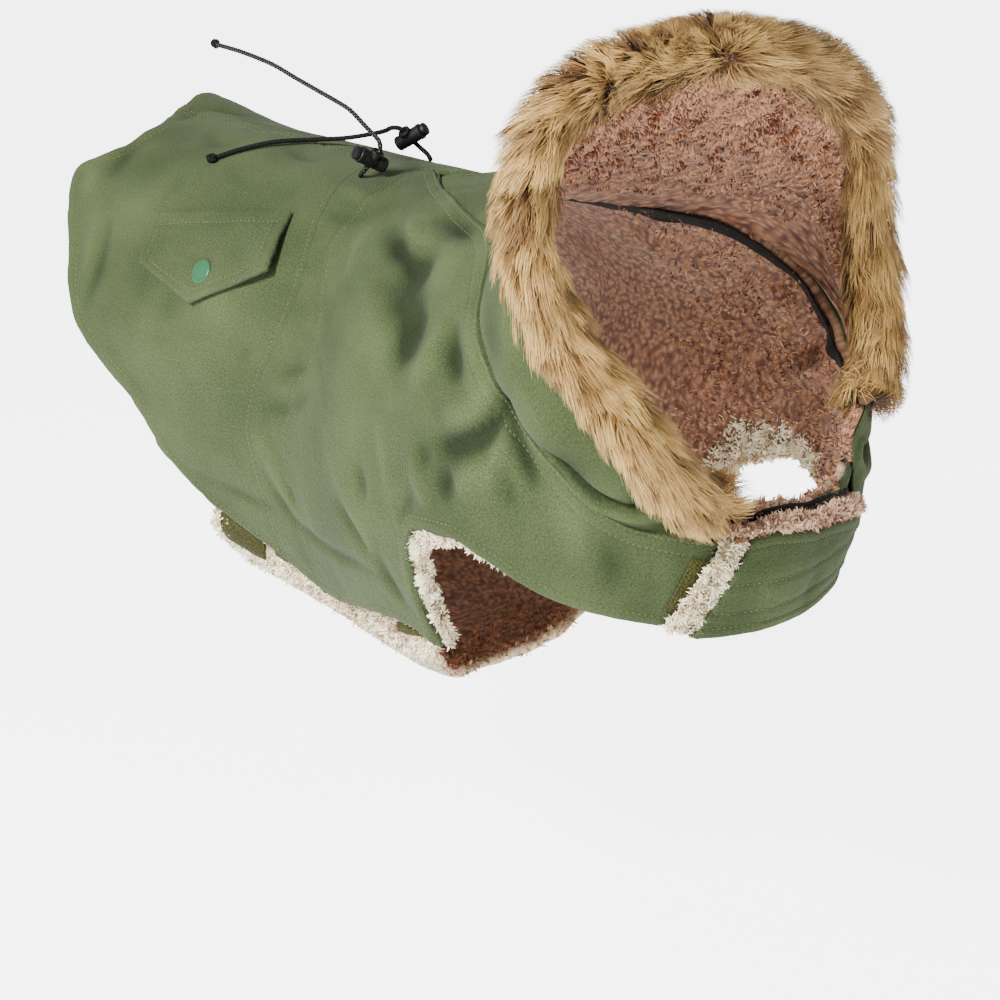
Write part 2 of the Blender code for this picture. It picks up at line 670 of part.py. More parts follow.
def smooth_route(route: tuple[tuple[float, float, float], ...], count: int) -> list[np.ndarray]:
    """Evenly spread points on a smooth curve through a route's own points."""
    knots = np.array(route)
    padded = np.vstack([2 * knots[0] - knots[1], knots, 2 * knots[-1] - knots[-2]])
    fine = []
    for i in range(len(knots) - 1):
        a, b, c, d = padded[i:i + 4]
        for t in np.linspace(0, 1, 24, endpoint=False):
            fine.append(0.5 * (2 * b + (c - a) * t + (2 * a - 5 * b + 4 * c - d) * t * t
                               + (3 * b - a - 3 * c + d) * t ** 3))
    fine = np.array(fine + [knots[-1]])
    gone = np.concatenate([[0], np.cumsum(np.linalg.norm(np.diff(fine, axis=0), axis=1))])
    wanted = np.linspace(0, gone[-1], count)
    return [np.array([np.interp(at, gone, fine[:, k]) for k in range(3)]) for at in wanted]


def cylinder(radius: float, length: float, centre: Vector, axis: Vector, sides: int) -> bmesh.types.BMesh:
    """A bmesh cylinder about an axis."""
    bm = bmesh.new()
    bmesh.ops.create_cone(
        bm, cap_ends=True, segments=sides, radius1=radius * MM, radius2=radius * MM, depth=length * MM,
    )
    turned = axis.to_track_quat("Z", "Y").to_matrix().to_4x4()
    bmesh.ops.transform(bm, matrix=Matrix.Translation(centre * MM) @ turned, verts=bm.verts[:])
    return bm


def make_cord_end(label: str, route, lock, cord, plastic) -> None:
    """One end of the drawcord, with its lock and its knot."""
    points = smooth_route(route, CORD_POINTS)
    tube(f"drawcord_{label}", points, CORD_RADIUS, 2, cord)

    axis = Vector(lock[1]).normalized()
    fine = smooth_route(route, 400)
    gone = np.concatenate([[0], np.cumsum(np.linalg.norm(np.diff(fine, axis=0), axis=1))])
    at = gone[int(np.argmin([np.linalg.norm(point - np.array(lock[0])) for point in fine]))]
    before, centre, after = (
        Vector([np.interp(at + shift, gone, [point[k] for point in fine]) for k in range(3)])
        for shift in (-4.0, 0.0, 4.0)
    )
    through = (after - before).normalized()
    axis = (axis - through * axis.dot(through)).normalized()
    barrel = finish(cylinder(BARREL_RADIUS, BARREL_LENGTH, centre, axis, 20), f"cord_lock_{label}", plastic)
    collar = finish(
        cylinder(COLLAR_RADIUS, COLLAR_LENGTH, centre + through * COLLAR_LENGTH * 0.42, through, 16),
        f"collar_{label}", plastic,
    )
    hole = finish(cylinder(CORD_HOLE_RADIUS, 40, centre, through, 14), f"hole_{label}", plastic)
    for helper, operation in ((collar, "UNION"), (hole, "DIFFERENCE")):
        helper.hide_render = True
        helper.display_type = "WIRE"
        cut = barrel.modifiers.new(helper.name, "BOOLEAN")
        cut.operation = operation
        cut.object = helper
    plunger_at = centre + axis * (BARREL_LENGTH / 2 + PLUNGER_LENGTH / 2 + 0.3)
    plunger = cylinder(PLUNGER_RADIUS, PLUNGER_LENGTH, plunger_at, axis, 18)
    finish(plunger, f"lock_plunger_{label}", plastic)

    tail = Vector(points[-1] - points[-2]).normalized()
    bm = bmesh.new()
    bmesh.ops.create_uvsphere(bm, u_segments=12, v_segments=8, radius=KNOT_RADIUS * MM)
    bmesh.ops.scale(bm, vec=(1.0, 1.0, 1.25), verts=bm.verts[:])
    turned = tail.to_track_quat("Z", "Y").to_matrix().to_4x4()
    centre = Vector(points[-1]) + tail * (KNOT_RADIUS * 1.25 + 0.3)
    bmesh.ops.transform(bm, matrix=Matrix.Translation(centre * MM) @ turned, verts=bm.verts[:])
    finish(bm, f"cord_knot_{label}", cord, sharp=80)


def main() -> None:
    """Builds the whole coat."""
    clear_scene()
    canvas = shaded("olive_canvas", (0.17, 0.23, 0.12), 0.85)
    sherpa = shaded("cream_sherpa", (0.82, 0.72, 0.55), 0.95)
    fur = shaded("tan_fur", (0.46, 0.31, 0.16), 0.9)
    loop = shaded("olive_hook_and_loop", (0.12, 0.11, 0.04), 0.9)
    tape = shaded("black_tape", (0.02, 0.02, 0.02), 0.8)
    cord = shaded("black_elastic_cord", (0.02, 0.02, 0.018), 0.6)
    plastic = shaded("black_plastic", (0.015, 0.015, 0.015), 0.45)
    stud = shaded("green_stud", (0.12, 0.34, 0.22), 0.35)

    for side, word in ((1, "right"), (-1, "left")):
        make_rear(side, f"rear_{word}", canvas)
        make_front(side, f"front_{word}", canvas)
        make_lining(side, f"lining_{word}", sherpa)
        make_hood(side, f"hood_{word}", canvas)
        make_hood_lining(side, f"hood_lining_{word}", sherpa)
        make_neck_tape(side, f"neck_tape_{word}", tape)
    make_waist_channel(canvas)
    make_belly(sherpa, loop)
    make_chest_patch(loop)
    make_pocket(canvas, stud)
    make_trim(fur)
    make_cord_end("near", NEAR_CORD, NEAR_LOCK, cord, plastic)
    make_cord_end("far", FAR_CORD, FAR_LOCK, cord, plastic)


main()
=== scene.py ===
"""The looks of a hooded dog coat: olive canvas, cream sherpa, a fur-trimmed hood and a waist drawcord.

The wearer faces +X, its right side is -Y and +Z is up. Tables and sizes are in millimetres and become
metres when a mesh gets its points. The coat is one wrapped surface: `run` goes forward along it (x along
the back and sides, then the arc round the chest) and `angle` goes round it, 0 at the crown of the back,
90 on the right side, 180 under the belly and negative on the left side.
"""

import logging
import math
from collections.abc import Callable, Sequence
from dataclasses import dataclass, field
from enum import Enum
from typing import NamedTuple

import bmesh
import bpy
import numpy as np
from bpy.types import Material, Mesh, Node, NodeSocket, NodeTree, Object
from mathutils import Matrix, Vector

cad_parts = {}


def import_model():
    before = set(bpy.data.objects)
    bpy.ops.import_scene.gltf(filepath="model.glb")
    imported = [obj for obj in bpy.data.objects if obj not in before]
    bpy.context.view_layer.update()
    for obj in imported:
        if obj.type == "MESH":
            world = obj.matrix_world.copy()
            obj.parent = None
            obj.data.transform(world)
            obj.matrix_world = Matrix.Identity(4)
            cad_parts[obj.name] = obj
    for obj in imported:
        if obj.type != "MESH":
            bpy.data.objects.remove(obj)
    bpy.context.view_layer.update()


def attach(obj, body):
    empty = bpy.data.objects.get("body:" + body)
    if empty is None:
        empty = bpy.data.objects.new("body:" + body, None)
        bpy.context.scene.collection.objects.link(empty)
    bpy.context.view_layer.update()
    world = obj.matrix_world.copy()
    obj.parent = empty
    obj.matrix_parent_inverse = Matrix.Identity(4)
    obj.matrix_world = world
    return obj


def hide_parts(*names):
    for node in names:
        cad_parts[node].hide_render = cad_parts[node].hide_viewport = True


LOG = logging.getLogger("dog_coat")
MM = 0.001
DEGREE_MM = 2.1

Array = np.ndarray
Colour = tuple[float, float, float]


class Side(Enum):
    """The two halves of the coat, as the wearer has them."""

    RIGHT = 1
    LEFT = -1

    @property
    def word(self) -> str:
        """The side's name inside a piece's name."""
        return self.name.lower()


class Edge(NamedTuple):
    """A point of a cut edge: how far forward it is and at what angle round the body."""

    run: float
    angle: float


class Section(NamedTuple):
    """One upright section of the body."""

    run: float
    half_width: float
    widest_z: float
    crown_z: float
    keel_z: float


class RingPoint(NamedTuple):
    """A point of the hood opening's middle line, and the neck seam's run that it hangs from."""

    seam_run: float
    x: float
    y: float
    z: float


TURN_X = 150.0
TURN_RADIUS = 120.0
FRONT_RUN = TURN_X + TURN_RADIUS * math.pi / 2
SECTIONS = (
    Section(-214, 103, -88, 15.5, -191),
    Section(-120, 109, -91, 12.5, -217),
    Section(-60, 108, -93, 8.5, -235),
    Section(-20, 107, -95, 6.5, -245),
    Section(20, 111, -96, 5.5, -253),
    Section(70, 120, -95, 9.5, -257),
    Section(150, 130, -91, 18.5, -249),
    Section(180, 132, -91, 24.5, -243),
    Section(215, 132, -97, 24.5, -243),
    Section(255, 129, -109, 14.5, -245),
    Section(295, 125, -121, 4.5, -247),
    Section(FRONT_RUN, 122, -126.5, 0.5, -249),
)
WAIST_PULL = ((0, 0), (24, 18), (41, 29), (62, 39), (77, 34), (92, 22), (102, 14), (125, 16), (180, 16))
REAR_CURVE = (
    Edge(-175, 79), Edge(-167, 87), Edge(-142, 97), Edge(-118, 104), Edge(-101, 115),
    Edge(-88, 121), Edge(-78, 125), Edge(-58, 129), Edge(-40, 132),
)
REAR_HEM_RIGHT = (
    Edge(-205, 0), Edge(-190, 18), Edge(-197, 31), Edge(-213, 41), Edge(-197, 56), Edge(-183, 67), *REAR_CURVE,
)
REAR_HEM_LEFT = (
    Edge(-205, 0), Edge(-219, 20), Edge(-217, 40), Edge(-200, 56), Edge(-184, 67), *REAR_CURVE,
)
NECK_BACK = (
    Edge(12, 0.2), Edge(34, 10), Edge(78, 22.5), Edge(134, 37), Edge(157, 52.5), Edge(171, 65), Edge(185, 75),
)
NECK_RIGHT = (
    *NECK_BACK, Edge(196, 81.5), Edge(214, 90), Edge(231, 95.5), Edge(248, 97.5),
    Edge(275, 97), Edge(298, 95), Edge(338, 90), Edge(380, 92), Edge(428, 97),
)
NECK_LEFT = (
    *NECK_BACK, Edge(196, 83), Edge(214, 94), Edge(231, 102), Edge(246, 106.5),
    Edge(260, 106.5), Edge(278, 102), Edge(299, 98.3), Edge(324, 95.2), Edge(348, 94), Edge(366, 93.6),
    Edge(379, 94.6), Edge(404, 96.5),
)
BELLY = (Edge(-112, 107), *REAR_CURVE[4:], Edge(-28, 134), Edge(-8, 138))
NOTCH = (
    Edge(112.5, 126), Edge(118, 113), Edge(128, 108.5), Edge(155, 108.5), Edge(172, 111.5), Edge(187, 115),
    Edge(204, 118),
)
LOWER_RIGHT = (
    *BELLY, Edge(20, 137), Edge(50, 133.8), Edge(78, 133), Edge(97, 134.5), Edge(110, 139), *NOTCH,
    Edge(240, 120), Edge(281, 120.5), Edge(338, 121), Edge(404, 119), Edge(428, 117),
)
LOWER_LEFT = (
    *BELLY, Edge(20, 139), Edge(50, 137), Edge(97, 137.5), Edge(110, 141), *NOTCH,
    Edge(240, 118.5), Edge(290, 116), Edge(338, 116), Edge(404, 119.5),
)
NECK_RUNS = (
    -8, 12, 34, 56, 78, 97, 116, 134, 146, 157, 171, 185, 196, 214, 231, 246, 260, 276, 304, 334,
)
LOWER_RUNS = (
    -8, 12, 34, 56, 78, 97, 110, 112.5, 118, 128, 144, 160, 176, 194, 212, 231, 248, 266, 294, 324,
)
RIGHT_END_RUNS = ((360, 352), (383, 376), (405, 400), (428, 428))
LEFT_END_RUNS = ((356, 364), (379, 404))
HOOD_OPENING_RIGHT = (
    RingPoint(12, 222, 0, 84.5),
    RingPoint(34, 213, -25, 84.5),
    RingPoint(56, 209, -50, 81.5),
    RingPoint(84, 204, -78, 74.5),
    RingPoint(108, 202, -95, 64.5),
    RingPoint(130, 200, -108, 52.5),
    RingPoint(145, 204, -118, 36.5),
    RingPoint(159, 208, -124, 11.5),
    RingPoint(175, 215, -122, -16),
    RingPoint(192, 227, -117, -38),
    RingPoint(212, 243, -109, -59),
    RingPoint(230, 256, -98, -82.5),
    RingPoint(248, 261, -82, -101),
    RingPoint(266, 265, -65, -111.5),
    RingPoint(284, 271, -47, -114),
)
HOOD_OPENING_LEFT = (
    RingPoint(12, 222, 0, 84.5),
    RingPoint(34, 226, 28, 79.5),
    RingPoint(56, 226, 56, 69),
    RingPoint(84, 220, 82, 54),
    RingPoint(108, 214, 98, 41),
    RingPoint(130, 209, 108, 27),
    RingPoint(145, 207, 113, 12),
    RingPoint(159, 208, 115, -6),
    RingPoint(175, 212, 114, -25),
    RingPoint(192, 218, 110, -44),
    RingPoint(212, 226, 103, -62),
    RingPoint(230, 233, 93, -80),
    RingPoint(248, 237, 80, -95),
    RingPoint(266, 241, 65, -105),
)
HOOD_SWELL = ((12, -16), (78, -10), (134, 0), (160, 7), (196, 9), (231, 5), (270, 0))
TRIM_ENDS = {Side.RIGHT: 284.0, Side.LEFT: 264.0}
HOOD_ENDS = {Side.RIGHT: 276.0, Side.LEFT: 260.0}
FRONT_ENDS = {Side.RIGHT: 428.0, Side.LEFT: 404.0}
NECK_START = 12.0
WAIST_BACK_SEAM = -28.0
FRONT_START = -8.0
BELLY_ENDS = (
    (127, -76, 106), (140, -88, 100), (152, -86, 88), (180, -84, 70), (208, -84, 72), (220, -80, 86),
    (233, -70, 98),
)
NEAR_CORD = (
    (-13.2, -30.6, 3.5), (-10.6, -32.6, 4.9), (-5.6, -34.0, 7.8), (-1.2, -33.0, 13.1),
    (3.7, -31.8, 19.0), (1.4, -30.5, 23.2), (-4.9, -29.3, 26.2), (-12.5, -28.0, 29.6),
    (-26.1, -26.0, 36.0), (-41.0, -24.0, 39.7), (-59.0, -21.0, 43.2), (-81.6, -17.0, 47.5),
    (-104.8, -13.0, 52.1), (-138.7, -6.0, 55.2), (-169.5, 1.3, 56.2),
)
FAR_CORD = (
    (-14.0, 20.0, 6.5), (-21.5, 24.5, 8.2), (-29.0, 25.8, 11.0), (-31.0, 20.5, 16.5),
    (-31.8, 15.2, 21.4), (-36.5, 12.6, 21.8), (-44.0, 12.0, 19.0), (-61.8, 5.0, 14.8),
    (-78.0, -4.0, 12.9), (-92.0, -22.0, 12.0), (-103.0, -37.0, 8.4), (-111.0, -48.5, 4.2),
)
NEAR_LOCK = ((-1.2, -33.0, 13.1), (-0.324, -0.837, 0.441))
FAR_LOCK = ((-31.0, 20.5, 16.5), (0.78, 0.452, 0.435))


class SmoothTable:
    """A curve through (position, value) rows with no overshoot between them."""

    def __init__(self, rows: Sequence[tuple[float, float]]) -> None:
        """Works out the curve's slopes.

        Args:
            rows: The positions, rising, and the values there.
        """
        self.at = np.array([row[0] for row in rows], float)
        self.value = np.array([row[1] for row in rows], float)
        self.step = np.diff(self.at)
        slope = np.diff(self.value) / self.step
        self.tangent = np.concatenate([slope[:1], np.zeros(len(self.at) - 2), slope[-1:]])
        for i in range(1, len(self.at) - 1):
            if slope[i - 1] * slope[i] > 0:
                before = 2 * self.step[i] + self.step[i - 1]
                after = self.step[i] + 2 * self.step[i - 1]
                self.tangent[i] = (before + after) / (before / slope[i - 1] + after / slope[i])

    def __call__(self, position: Array | float) -> Array:
        """Reads the curve.

        Args:
            position: Where to read it; beyond the table it keeps the end's value.

        Returns:
            The values there.
        """
        x = np.clip(np.asarray(position, float), self.at[0], self.at[-1])
        i = np.clip(np.searchsorted(self.at, x) - 1, 0, len(self.step) - 1)
        step = self.step[i]
        t = (x - self.at[i]) / step
        start = (1 + 2 * t) * (1 - t) ** 2 * self.value[i] + t * (1 - t) ** 2 * step * self.tangent[i]
        end = t * t * (3 - 2 * t) * self.value[i + 1] + t * t * (t - 1) * step * self.tangent[i + 1]
        return start + end


def ease(x: Array | float, low: float, high: float) -> Array:
    """A smooth step from 0 at `low` to 1 at `high`."""
    t = np.clip((np.asarray(x, float) - low) / (high - low), 0, 1)
    return t * t * (3 - 2 * t)


def bell(x: Array, width: float) -> Array:
    """A bump of height 1 round 0."""
    return np.exp(-((x / width) ** 2))


def scattered(i: Array, j: Array, seed: float) -> Array:
    """A repeatable random number from 0 to 1 for each pair of whole numbers."""
    return np.modf(np.abs(np.sin(i * 127.1 + j * 311.7 + seed * 74.7) * 43758.5453))[0]


def ripple(x: Array, y: Array, scale: float, seed: float) -> Array:
    """Soft uneven noise from -1 to 1.

    Args:
        x: First place on the cloth, in millimetres.
        y: Second place on the cloth.
        scale: Size of one wave.
        seed: Which pattern.

    Returns:
        The noise at each place.
    """
    px, py = x / scale, y / scale
    ix, iy = np.floor(px), np.floor(py)
    tx, ty = px - ix, py - iy
    tx, ty = tx * tx * (3 - 2 * tx), ty * ty * (3 - 2 * ty)
    corner = [[scattered(ix + a, iy + b, seed) for b in (0, 1)] for a in (0, 1)]
    low = corner[0][0] * (1 - ty) + corner[0][1] * ty
    high = corner[1][0] * (1 - ty) + corner[1][1] * ty
    return 2 * (low * (1 - tx) + high * tx) - 1


def tufts(x: Array, y: Array, size: float, seed: float) -> Array:
    """Round lumps side by side, as in curled pile: 1 in a lump's middle and 0 between lumps.

    Args:
        x: First place on the cloth, in millimetres.
        y: Second place on the cloth.
        size: Distance between lumps.
        seed: Which pattern.

    Returns:
        The height at each place.
    """
    ix, iy = np.floor(x / size), np.floor(y / size)
    nearest = np.full(np.shape(x), 9.0)
    for a in (-1, 0, 1):
        for b in (-1, 0, 1):
            cx = ix + a + 0.15 + 0.7 * scattered(ix + a, iy + b, seed)
            cy = iy + b + 0.15 + 0.7 * scattered(ix + a, iy + b, seed + 5.3)
            nearest = np.minimum(nearest, (x / size - cx) ** 2 + (y / size - cy) ** 2)
    return np.clip(1 - nearest, 0, 1)


def gone_along(points: Array) -> Array:
    """The length of a line of points up to each of them."""
    return np.concatenate([[0], np.cumsum(np.linalg.norm(np.diff(points, axis=0), axis=1))])


def read_at(at: Array | float, gone: Array, rows: Array) -> Array:
    """Points or directions read between the rows of a line, at lengths along it."""
    return np.stack([np.interp(at, gone, column) for column in rows.T], axis=-1)


def along_path(points: Array, count: int) -> Array:
    """Evenly spread points on a smooth curve through some points.

    Args:
        points: The points that the curve passes through.
        count: How many points to give.

    Returns:
        The spread points.
    """
    padded = np.vstack([2 * points[0] - points[1], points, 2 * points[-1] - points[-2]])
    t = np.linspace(0, 1, 24, endpoint=False)[:, None]
    pieces = []
    for a, b, c, d in zip(padded[:-3], padded[1:-2], padded[2:-1], padded[3:]):
        cubic = 2 * b + (c - a) * t + (2 * a - 5 * b + 4 * c - d) * t**2 + (3 * b - a - 3 * c + d) * t**3
        pieces.append(0.5 * cubic)
    fine = np.vstack([*pieces, points[-1:]])
    gone = gone_along(fine)
    return read_at(np.linspace(0, gone[-1], count), gone, fine)


class Fold(NamedTuple):
    """A soft trough or ridge of the cloth: its path over the body, half its width and its height."""

    path: tuple[tuple[float, float], ...]
    width: float
    height: float


RIGHT_FOLDS = (
    Fold(((204, 58), (198, 66), (193, 74), (189.5, 79), (184, 84), (172, 88.6), (157, 91.2), (145, 92)), 5.0, -6.2),
    Fold(((188, 68), (184, 75), (177, 80), (164, 83.4), (148, 85)), 6.0, 2.4),
    Fold(((194, 72), (191.4, 78.6), (188.8, 84.8), (185.4, 90.4), (180, 97)), 3.2, 3.4),
    Fold(((189, 77), (192.4, 83), (196, 88), (200, 92.6), (203, 97)), 3.6, -4.0),
    Fold(((182, 91.8), (169, 96.2), (165, 100.3)), 4.5, 2.6),
    Fold(((199, 78), (204.5, 82.2), (210, 84.4), (213, 86.2)), 3.8, -3.4),
    Fold(((199, 82.4), (206, 86.3), (213, 90.5)), 4.0, 2.0),
    Fold(((190, 92.4), (190, 96.7), (190, 101.1)), 4.0, -2.4),
    Fold(((34, 33.5), (48, 37.5), (67, 42), (91, 46.4), (108, 48.4)), 6.5, -3.6),
    Fold(((77, 28.9), (104, 33.8), (124, 36.6)), 7.0, -2.8),
    Fold(((70, 48), (78, 52.1), (100, 59), (110, 65), (114, 74.6)), 13.0, -4.6),
    Fold(((108, 58), (111, 64), (112, 70), (118, 76.5)), 8.0, -3.2),
    Fold(((92, 55.5), (96, 46.2), (97, 39.3)), 9.0, -2.4),
    Fold(((57, 31.5), (72, 37), (83, 42.5)), 7.0, 2.4),
    Fold(((146, 59.8), (151, 67.4), (164, 76.5)), 8.0, -3.4),
    Fold(((149, 84.9), (159, 82.3)), 8.0, -1.6),
    Fold(((142, 60.1), (138, 70.6), (128, 80.0)), 8.0, 2.2),
    Fold(((147, 57.0), (160, 64.4), (168, 71.6), (177, 79.6)), 7.0, 2.4),
    Fold(((137, 92.3), (142, 96.9)), 4.5, -2.6),
    Fold(((161, 94.7), (150, 100.7)), 5.0, -2.8),
    Fold(((133, 101.3), (114, 107.1)), 3.5, -1.6),
    Fold(((130, 94.3), (137, 99.6), (145, 103.5)), 4.0, 2.2),
    Fold(((102, 88.0), (109, 97.4), (110, 103.6)), 4.0, 1.4),
    Fold(((85, 98.0), (86, 105.9)), 4.0, -2.4),
    Fold(((56, 106.6), (66, 110), (83, 116.8)), 3.6, -2.6),
    Fold(((62, 104.6), (76, 109.5), (90, 114.8)), 4.0, 1.2),
    Fold(((93, 114.4), (90, 119.7), (101, 128)), 4.0, -2.2),
    Fold(((-26, 107), (-17, 114.2), (-7, 118.3), (29, 120.2), (68, 120.0), (86, 120.8)), 2.6, -2.0),
    Fold(((-7, 109.0), (0, 114.5)), 3.0, -1.8),
    Fold(((-22, 105), (-10, 111), (4, 115.8)), 3.6, 1.6),
    Fold(((-81, 118.0), (-61, 117.8), (-43, 118.1), (-29, 117.8), (-14, 115.6)), 2.0, -1.5),
    Fold(((-162, 48.9), (-152, 60), (-151, 70), (-155, 84.1)), 4.0, -1.7),
    Fold(((-169, 52), (-160, 68), (-162, 80)), 5.0, 1.1),
    Fold(((-91, 70.2), (-93, 82.5)), 6.0, -0.9),
    Fold(((-114, 63.9), (-107, 84.8)), 6.0, -0.8),
    Fold(((-30, 83.1), (-13, 84.5), (9, 80.0)), 3.2, -1.1),
    Fold(((-31, 94.9), (-3, 93.2), (29, 88.2)), 3.4, -1.3),
    Fold(((-26, 89), (-8, 89.5), (10, 85.5)), 4.0, 1.1),
    Fold(((-46, 85.6), (-42, 80.3)), 3.0, -0.9),
    Fold(((-25, 95.5), (-16, 100.1), (-8, 103.2)), 3.2, -1.1),
    Fold(((2, 72.7), (19, 76.6), (43, 82.9), (62, 86.6)), 3.4, -0.8),
    Fold(((-36, 33), (-14, 36), (6, 33)), 4.0, -1.1),
    Fold(((-150, 12), (-132, 18), (-118, 16)), 4.0, -1.2),
    Fold(((-104, 22), (-92, 30), (-76, 31)), 3.6, -1.1),
    Fold(((-88, 10), (-70, 14), (-56, 12)), 3.8, -1.2),
    Fold(((-128, 30), (-120, 38), (-124, 44)), 3.4, -1.0),
    Fold(((-30, 22), (-14, 26), (6, 24)), 4.5, 1.0),
    Fold(((20, 30), (22, 48), (30, 66)), 9.0, 0.9),
    Fold(((-60, 40), (-66, 60), (-60, 84)), 12.0, 0.9),
    Fold(((-140, 88), (-120, 96), (-96, 106)), 6.0, -0.9),
    Fold(((-186, 11.6), (-187, 4), (-194, -4)), 5.0, -1.4),
    Fold(((-200, 24), (-186, 30), (-178, 44)), 7.0, -1.6),
    Fold(((-205, 38), (-196, 40), (-182, 50)), 8.0, 1.4),
    Fold(((230, 100), (236, 108), (232, 117)), 6.0, -1.5),
    Fold(((262, 99), (262, 110), (268, 119)), 7.0, 1.2),
    Fold(((214, 93), (220, 100), (222, 110)), 6.0, 1.2),
)
LEFT_FOLDS = (
    Fold(((-198, -3), (-178, -8), (-152, -10)), 3.0, -1.3),
    Fold(((-172, -3), (-150, -7.5), (-122, -8.5)), 3.0, -1.3),
    Fold(((-142, -3), (-118, -7.5), (-92, -8)), 3.0, -1.2),
    Fold(((-112, -3), (-90, -7.5), (-64, -8.5)), 3.0, -1.2),
    Fold(((191, -80), (183, -88), (168, -92), (152, -94)), 5.5, -6.5),
    Fold(((188, -77), (176, -84), (160, -88), (146, -90)), 6.0, 3.4),
    Fold(((194, -84), (188, -91), (178, -98)), 5.0, 3.0),
    Fold(((60, -38), (74, -48), (96, -58), (104, -72)), 13.0, -4.2),
    Fold(((90, -56), (96, -44), (112, -35)), 10.0, -3.0),
    Fold(((136, -60), (146, -70), (158, -79)), 9.0, -3.2),
    Fold(((126, -60), (126, -72), (118, -83)), 8.0, 2.4),
    Fold(((150, -60), (166, -68), (174, -80)), 7.0, 2.2),
    Fold(((140, -93), (136, -102)), 5.0, -2.4),
    Fold(((164, -96), (152, -105)), 5.0, -2.2),
    Fold(((92, -90), (86, -102)), 5.0, -2.0),
    Fold(((58, -108), (76, -113), (94, -121)), 4.0, -2.2),
    Fold(((92, -114), (95, -122), (104, -131)), 4.0, -2.0),
    Fold(((-24, -109), (-12, -116), (10, -120), (60, -121)), 3.0, -1.7),
    Fold(((-80, -118.0), (-50, -118.6), (-14, -116)), 2.2, -1.4),
    Fold(((-160, -52), (-150, -68), (-150, -84)), 5.0, -1.6),
    Fold(((-120, -44), (-112, -62), (-116, -82)), 6.0, -1.0),
    Fold(((-84, -40), (-76, -62), (-82, -88)), 9.0, 1.0),
    Fold(((-60, -88), (-40, -96), (-26, -104)), 4.0, -1.2),
    Fold(((-34, -58), (-12, -62), (14, -57)), 4.0, -1.3),
    Fold(((-34, -86), (-10, -84), (22, -78)), 4.0, -1.4),
    Fold(((-30, -74), (-8, -75), (20, -69)), 4.5, 1.3),
    Fold(((8, -84), (30, -90), (56, -94)), 4.0, -1.0),
    Fold(((-202, -26), (-184, -34), (-168, -42)), 8.0, -2.0),
    Fold(((-212, -40), (-190, -50), (-170, -54)), 8.0, 1.8),
    Fold(((-190, -8), (-170, -12), (-150, -10)), 7.0, -1.2),
    Fold(((214, -98), (222, -106), (222, -114)), 6.0, -1.5),
    Fold(((254, -110), (262, -114), (300, -112)), 5.0, -1.2),
    Fold(((330, -102), (336, -110), (332, -115)), 7.0, -1.2),
    Fold(((362, -101), (368, -108), (366, -116)), 7.0, 0.9),
)


class SeamKind(Enum):
    """How the cloth ends or joins along a line."""

    JOIN = 0
    HEM = 1
    ROW = 2


def chart(run: Array, angle: Array) -> Array:
    """The place on the flattened cloth, in millimetres, of points given by run and angle."""
    return np.stack(np.broadcast_arrays(np.asarray(run, float), np.asarray(angle, float) * DEGREE_MM), axis=-1)


def nearest_on(points: Array, path: Array) -> tuple[Array, Array, Array]:
    """How points lie by a path of straight stretches.

    Args:
        points: The points, in the plane.
        path: The path's corners.

    Returns:
        The distance of each point from the path, its place along it, and which side it is on.
    """
    best = np.full(len(points), 1e9)
    along, side = np.zeros(len(points)), np.zeros(len(points))
    gone = 0.0
    for start, end in zip(path[:-1], path[1:]):
        step = end - start
        length = float(np.hypot(*step))
        if length < 1e-6:
            continue
        away = points - start
        share = np.clip((away @ step) / length**2, 0, 1)
        off = away - share[:, None] * step
        gap = np.hypot(off[:, 0], off[:, 1])
        closer = gap < best
        best = np.where(closer, gap, best)
        along = np.where(closer, gone + share * length, along)
        side = np.where(closer, np.sign(step[0] * away[:, 1] - step[1] * away[:, 0]), side)
        gone += length
    return best, along, side


@dataclass
class Seam:
    """A sewn line: a join's groove or a turned edge, the band beside it and its puckers.

    `rows` are the topstitch rows' distances from the line, to its left if positive.
    """

    name: str
    line: Array
    kind: SeamKind = SeamKind.JOIN
    rows: tuple[float, ...] = ()
    pucker: float = 0.45
    band: float = 0.35
    depth: float = 0.95
    seed: float = 1.0

    def relief(self, points: Array) -> Array:
        """The line's own shape in the cloth.

        Args:
            points: Places on the flattened cloth.

        Returns:
            How far out the cloth stands there.
        """
        near = np.zeros(len(points))
        low, high = self.line.min(axis=0) - 26, self.line.max(axis=0) + 26
        close = ((points > low) & (points < high)).all(axis=1)
        if not close.any():
            return near
        gap, along, side = nearest_on(points[close], self.line)
        if self.kind is SeamKind.HEM:
            shape = -1.25 * np.clip(1 - gap / 2.6, 0, 1) ** 2 + 0.25 * bell(gap - 4, 3)
        elif self.kind is SeamKind.JOIN:
            shape = -self.depth * bell(gap, 0.9)
        else:
            shape = -0.5 * bell(gap, 1.3) + 0.2 * bell(gap - 4, 3)
        for row in self.rows:
            if not row:
                continue
            wide = abs(row)
            facing = np.where(side * np.sign(row) >= 0, 1.0, 0.0)
            shape = shape + facing * (self.band * ease(gap, 0.6, 1.8) * ease(-gap, -wide - 0.6, -wide + 0.4))
            shape = shape - facing * 0.42 * bell(gap - wide, 0.75)
        wave = ripple(along, gap * 0.25, 7.5, self.seed) + 0.6 * ripple(along, gap * 0.5, 3.6, self.seed + 3)
        near[close] = shape + self.pucker * wave * np.exp(-gap / 7.0) * ease(gap, -2, 2.5)
        return near


